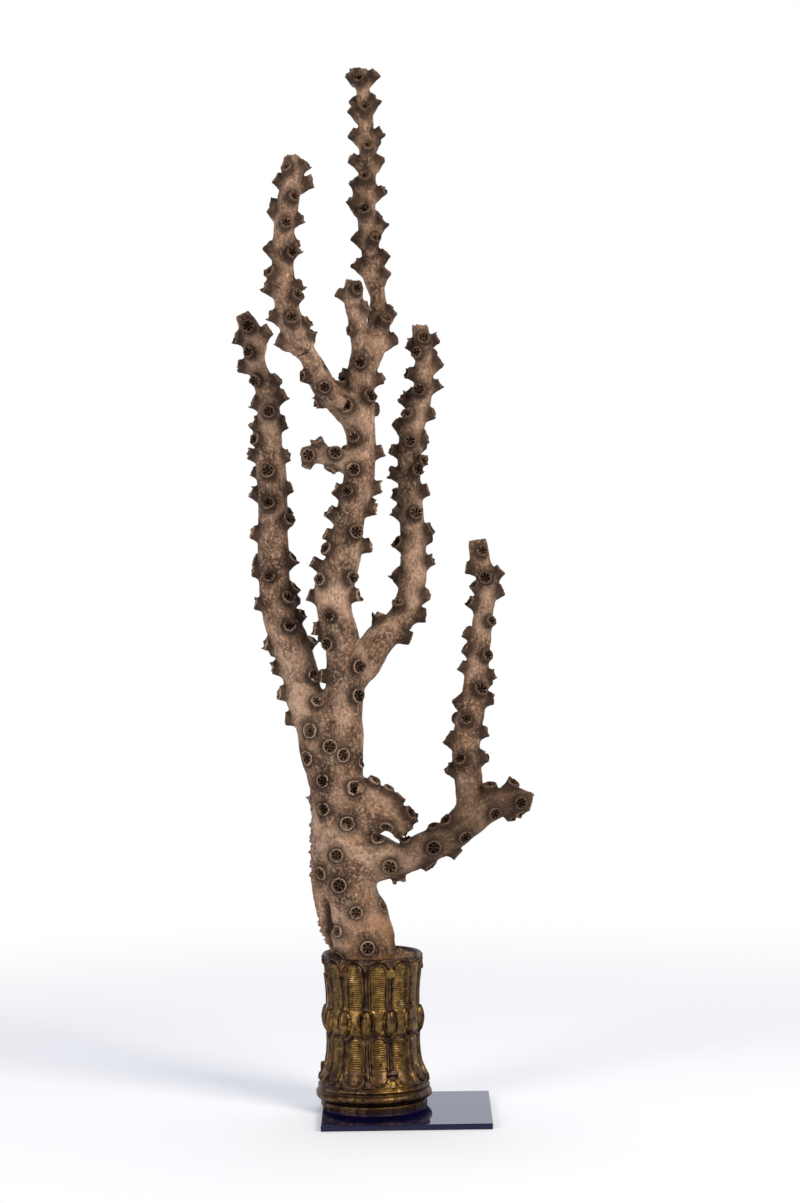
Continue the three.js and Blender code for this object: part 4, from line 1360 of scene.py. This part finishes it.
FULL_SIZE = (1 / MM, 1 / MM, 1 / MM)
set_pieces(
    "slotted_screws", slotted_head(),
    [(AXIS + out * 30.3 + [0, 0, middle[2]], out, FULL_SIZE) for middle, out in screws],
    metal("Darkened steel screw", "#3a2c26", "#78604f", 0.42),
    [f"screw_{i}" for i in (1, 2, 3)],
)
BUTTON = [(3.0, -1.9, 0), (3.1, -0.2, 0), (2.85, 0.0, 0), (1.4, 0.12, 0)]
button = mesh_object("button", *lathe(BUTTON, np.ones(36), -1.9, 0.14))
set_pieces(
    "brass_rim_plugs", button,
    [(AXIS + out * 28.1 + [0, 0, middle[2]], out, FULL_SIZE) for middle, out in plugs],
    metal("Dull plug brass", "#6a5834", "#8b7849", 0.45),
    [f"rim_plug_{i}" for i in (1, 2, 3)],
)


# ---------------------------------------------------------------- filler
# The crumbly golden-brown compound that beds the coral in the mouth of the ferrule: a lumpy
# bed, high at the front and right and sunk away at the left, with loose crumbs on it.
BED = {"radius": 25.0, "front": 88.0, "left": 75.0, "foot": 40.0}
rings, sectors = 26, 90
ring_radius = np.linspace(0, 1, rings + 1)[1:] * BED["radius"]
turns = np.arange(sectors) * 2 * math.pi / sectors
bed_radius, bed_turn = np.meshgrid(ring_radius, turns, indexing="ij")
bed_x = bed_radius * np.cos(bed_turn)
bed_y = bed_radius * np.sin(bed_turn)
bed_high = BED["front"] - (BED["front"] - BED["left"]) * smooth(-bed_x, 8, 21) + 0.05 * bed_x
top_verts = np.stack([bed_x, bed_y, bed_high], -1).reshape(-1, 3)
foot_verts = np.stack([bed_x[-1], bed_y[-1], np.full(sectors, BED["foot"])], -1)
verts = np.vstack([top_verts, foot_verts, [[0, 0, BED["front"]]], [[0, 0, BED["foot"]]]]) + AXIS
faces = []
for r in range(rings):
    for s in range(sectors):
        a, b = r * sectors + s, r * sectors + (s + 1) % sectors
        faces.append((a, a + sectors, b + sectors, b))
for s in range(sectors):
    faces.append((s, (s + 1) % sectors, len(verts) - 2))
    faces.append((rings * sectors + (s + 1) % sectors, rings * sectors + s, len(verts) - 1))
filler = mesh_object("setting_compound", verts, faces)


def crumbled():
    """Lumps in the bed's top, and loose crumbs scattered on it."""
    tree = bpy.data.node_groups.new("Crumbled setting compound", "GeometryNodeTree")
    face = tree.interface
    for name, kind in (
        ("Bed", "Geometry"), ("Lump height", "Float"), ("Crumb size", "Float"),
        ("Crumbs per square metre", "Float"), ("Seed", "Int"), ("Finish", "Material"),
    ):
        face.new_socket(name, in_out="INPUT", socket_type="NodeSocket" + kind)
    face.new_socket("Filler", in_out="OUTPUT", socket_type="NodeSocketGeometry")
    given = add(tree, "NodeGroupInput").outputs
    normal = add(tree, "GeometryNodeInputNormal").outputs[0]
    upward = add(tree, "ShaderNodeSeparateXYZ", {"Vector": normal}).outputs["Z"]
    upper = add(tree, "FunctionNodeCompare", {"A": upward, "B": 0.3}, operation="GREATER_THAN").outputs[0]
    lumps = add(tree, "ShaderNodeTexNoise", {"Scale": 330.0, "Detail": 4.0, "Roughness": 0.6}).outputs[0]
    even = add(tree, "ShaderNodeMath", {0: lumps, 1: 0.5}, operation="SUBTRACT").outputs[0]
    rise = {0: even, 1: given["Lump height"]}
    rise = add(tree, "ShaderNodeMath", rise, operation="MULTIPLY").outputs[0]
    push = add(tree, "ShaderNodeCombineXYZ", {"Z": rise}).outputs[0]
    bed = add(tree, "GeometryNodeSetPosition", {
        "Geometry": given["Bed"], "Selection": upper, "Offset": push,
    }).outputs[0]
    spread = add(tree, "GeometryNodeDistributePointsOnFaces", {
        "Mesh": bed, "Selection": upper, "Density": given["Crumbs per square metre"],
        "Seed": given["Seed"],
    })
    stone = add(tree, "GeometryNodeMeshIcoSphere", {"Radius": 0.5, "Subdivisions": 2}).outputs[0]
    dents = add(tree, "ShaderNodeTexNoise", {"Scale": 1.6, "Detail": 1.0}).outputs["Color"]
    shift = {0: dents, 1: (0.5, 0.5, 0.5)}
    shift = add(tree, "ShaderNodeVectorMath", shift, operation="SUBTRACT").outputs[0]
    stone = add(tree, "GeometryNodeSetPosition", {"Geometry": stone, "Offset": shift}).outputs[0]
    any_turn = {"Max": (6.3, 6.3, 6.3), "Seed": given["Seed"]}
    spin = add(tree, "FunctionNodeRandomValue", any_turn, data_type="FLOAT_VECTOR")
    any_size = {2: 0.35, 3: 1.0, "Seed": given["Seed"]}
    size = add(tree, "FunctionNodeRandomValue", any_size, data_type="FLOAT").outputs[1]
    size = {0: size, 1: given["Crumb size"]}
    size = add(tree, "ShaderNodeMath", size, operation="MULTIPLY").outputs[0]
    crumbs = add(tree, "GeometryNodeInstanceOnPoints", {
        "Points": spread.outputs[0], "Instance": stone, "Rotation": spin.outputs[0], "Scale": size,
    })
    loose = add(tree, "GeometryNodeRealizeInstances", {"Geometry": crumbs.outputs[0]}).outputs[0]
    both = add(tree, "GeometryNodeJoinGeometry")
    tree.links.new(bed, both.inputs[0])
    tree.links.new(loose, both.inputs[0])
    finished = add(tree, "GeometryNodeSetMaterial", {
        "Geometry": both.outputs[0], "Material": given["Finish"],
    })
    add(tree, "NodeGroupOutput", {0: finished.outputs[0]})
    return tree


# Setting compound: ochre to dark brown in grains 4 mm across, with a glint of old gold size.
compound = bpy.data.materials.new("Golden-brown setting compound")
compound.use_nodes = True
tree = compound.node_tree
shader = tree.nodes["Principled BSDF"]
place = add(tree, "ShaderNodeTexCoord").outputs["Object"]
patchy = add(tree, "ShaderNodeTexNoise", {"Vector": place, "Scale": 260.0, "Detail": 5.0}).outputs[0]
tones = ((0.3, "#2e1d0e"), (0.5, "#64451f"), (0.7, "#a07a3a"))
tone = add(tree, "ShaderNodeValToRGB", {"Fac": patchy}, tones).outputs["Color"]
tree.links.new(tone, shader.inputs["Base Color"])
glint = {"Value": patchy, "From Min": 0.55, "From Max": 0.68, "To Max": 0.6}
glint = add(tree, "ShaderNodeMapRange", glint).outputs[0]
tree.links.new(glint, shader.inputs["Metallic"])
shader.inputs["Roughness"].default_value = 0.55
run_tree(filler, crumbled(), **{
    "Lump height": 5.0 * MM, "Crumb size": 1.6 * MM, "Crumbs per square metre": 240000.0,
    "Seed": 5, "Finish": compound,
})
filler.data.shade_smooth()
filler.data.set_sharp_from_angle(angle=math.radians(40))
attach(filler, "root")
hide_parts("filler")


# ---------------------------------------------------------------- plate
# A square of 3.5 mm dark blue acrylic sheet, sawn, its edges and corners eased and polished.
plate = mesh_object("acrylic_plate", *box_mesh(np.array(plate_low) / MM, np.array(plate_high) / MM))
ease = plate.modifiers.new("eased edges", "BEVEL")
ease.width = 0.45 * MM
ease.segments = 4
settle(plate)
NARROW = 20 * MM * MM  # the eased edges' strips are smaller than this, the flat faces larger
for facet in plate.data.polygons:
    facet.use_smooth = facet.area < NARROW
# Cast acrylic, dyed through and polished: glossy, with faint smears of wiping 6 mm apart.
acrylic = bpy.data.materials.new("Polished navy acrylic")
acrylic.use_nodes = True
tree = acrylic.node_tree
shader = tree.nodes["Principled BSDF"]
shader.inputs["IOR"].default_value = 1.4
place = add(tree, "ShaderNodeTexCoord").outputs["Object"]
cloud = add(tree, "ShaderNodeTexNoise", {"Vector": place, "Scale": 45.0, "Detail": 3.0}).outputs[0]
tones = ((0.3, "#07082c"), (0.7, "#0b0d38"))
tone = add(tree, "ShaderNodeValToRGB", {"Fac": cloud}, tones).outputs["Color"]
tree.links.new(tone, shader.inputs["Base Color"])
smears = {"Vector": place, "Scale": 160.0, "Detail": 5.0, "Distortion": 1.5}
smears = add(tree, "ShaderNodeTexNoise", smears).outputs[0]
rough = {"Value": smears, "From Min": 0.4, "From Max": 0.7, "To Min": 0.02, "To Max": 0.07}
rough = add(tree, "ShaderNodeMapRange", rough).outputs[0]
tree.links.new(rough, shader.inputs["Roughness"])
plate.data.materials.append(acrylic)
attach(plate, "root")
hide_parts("plate")
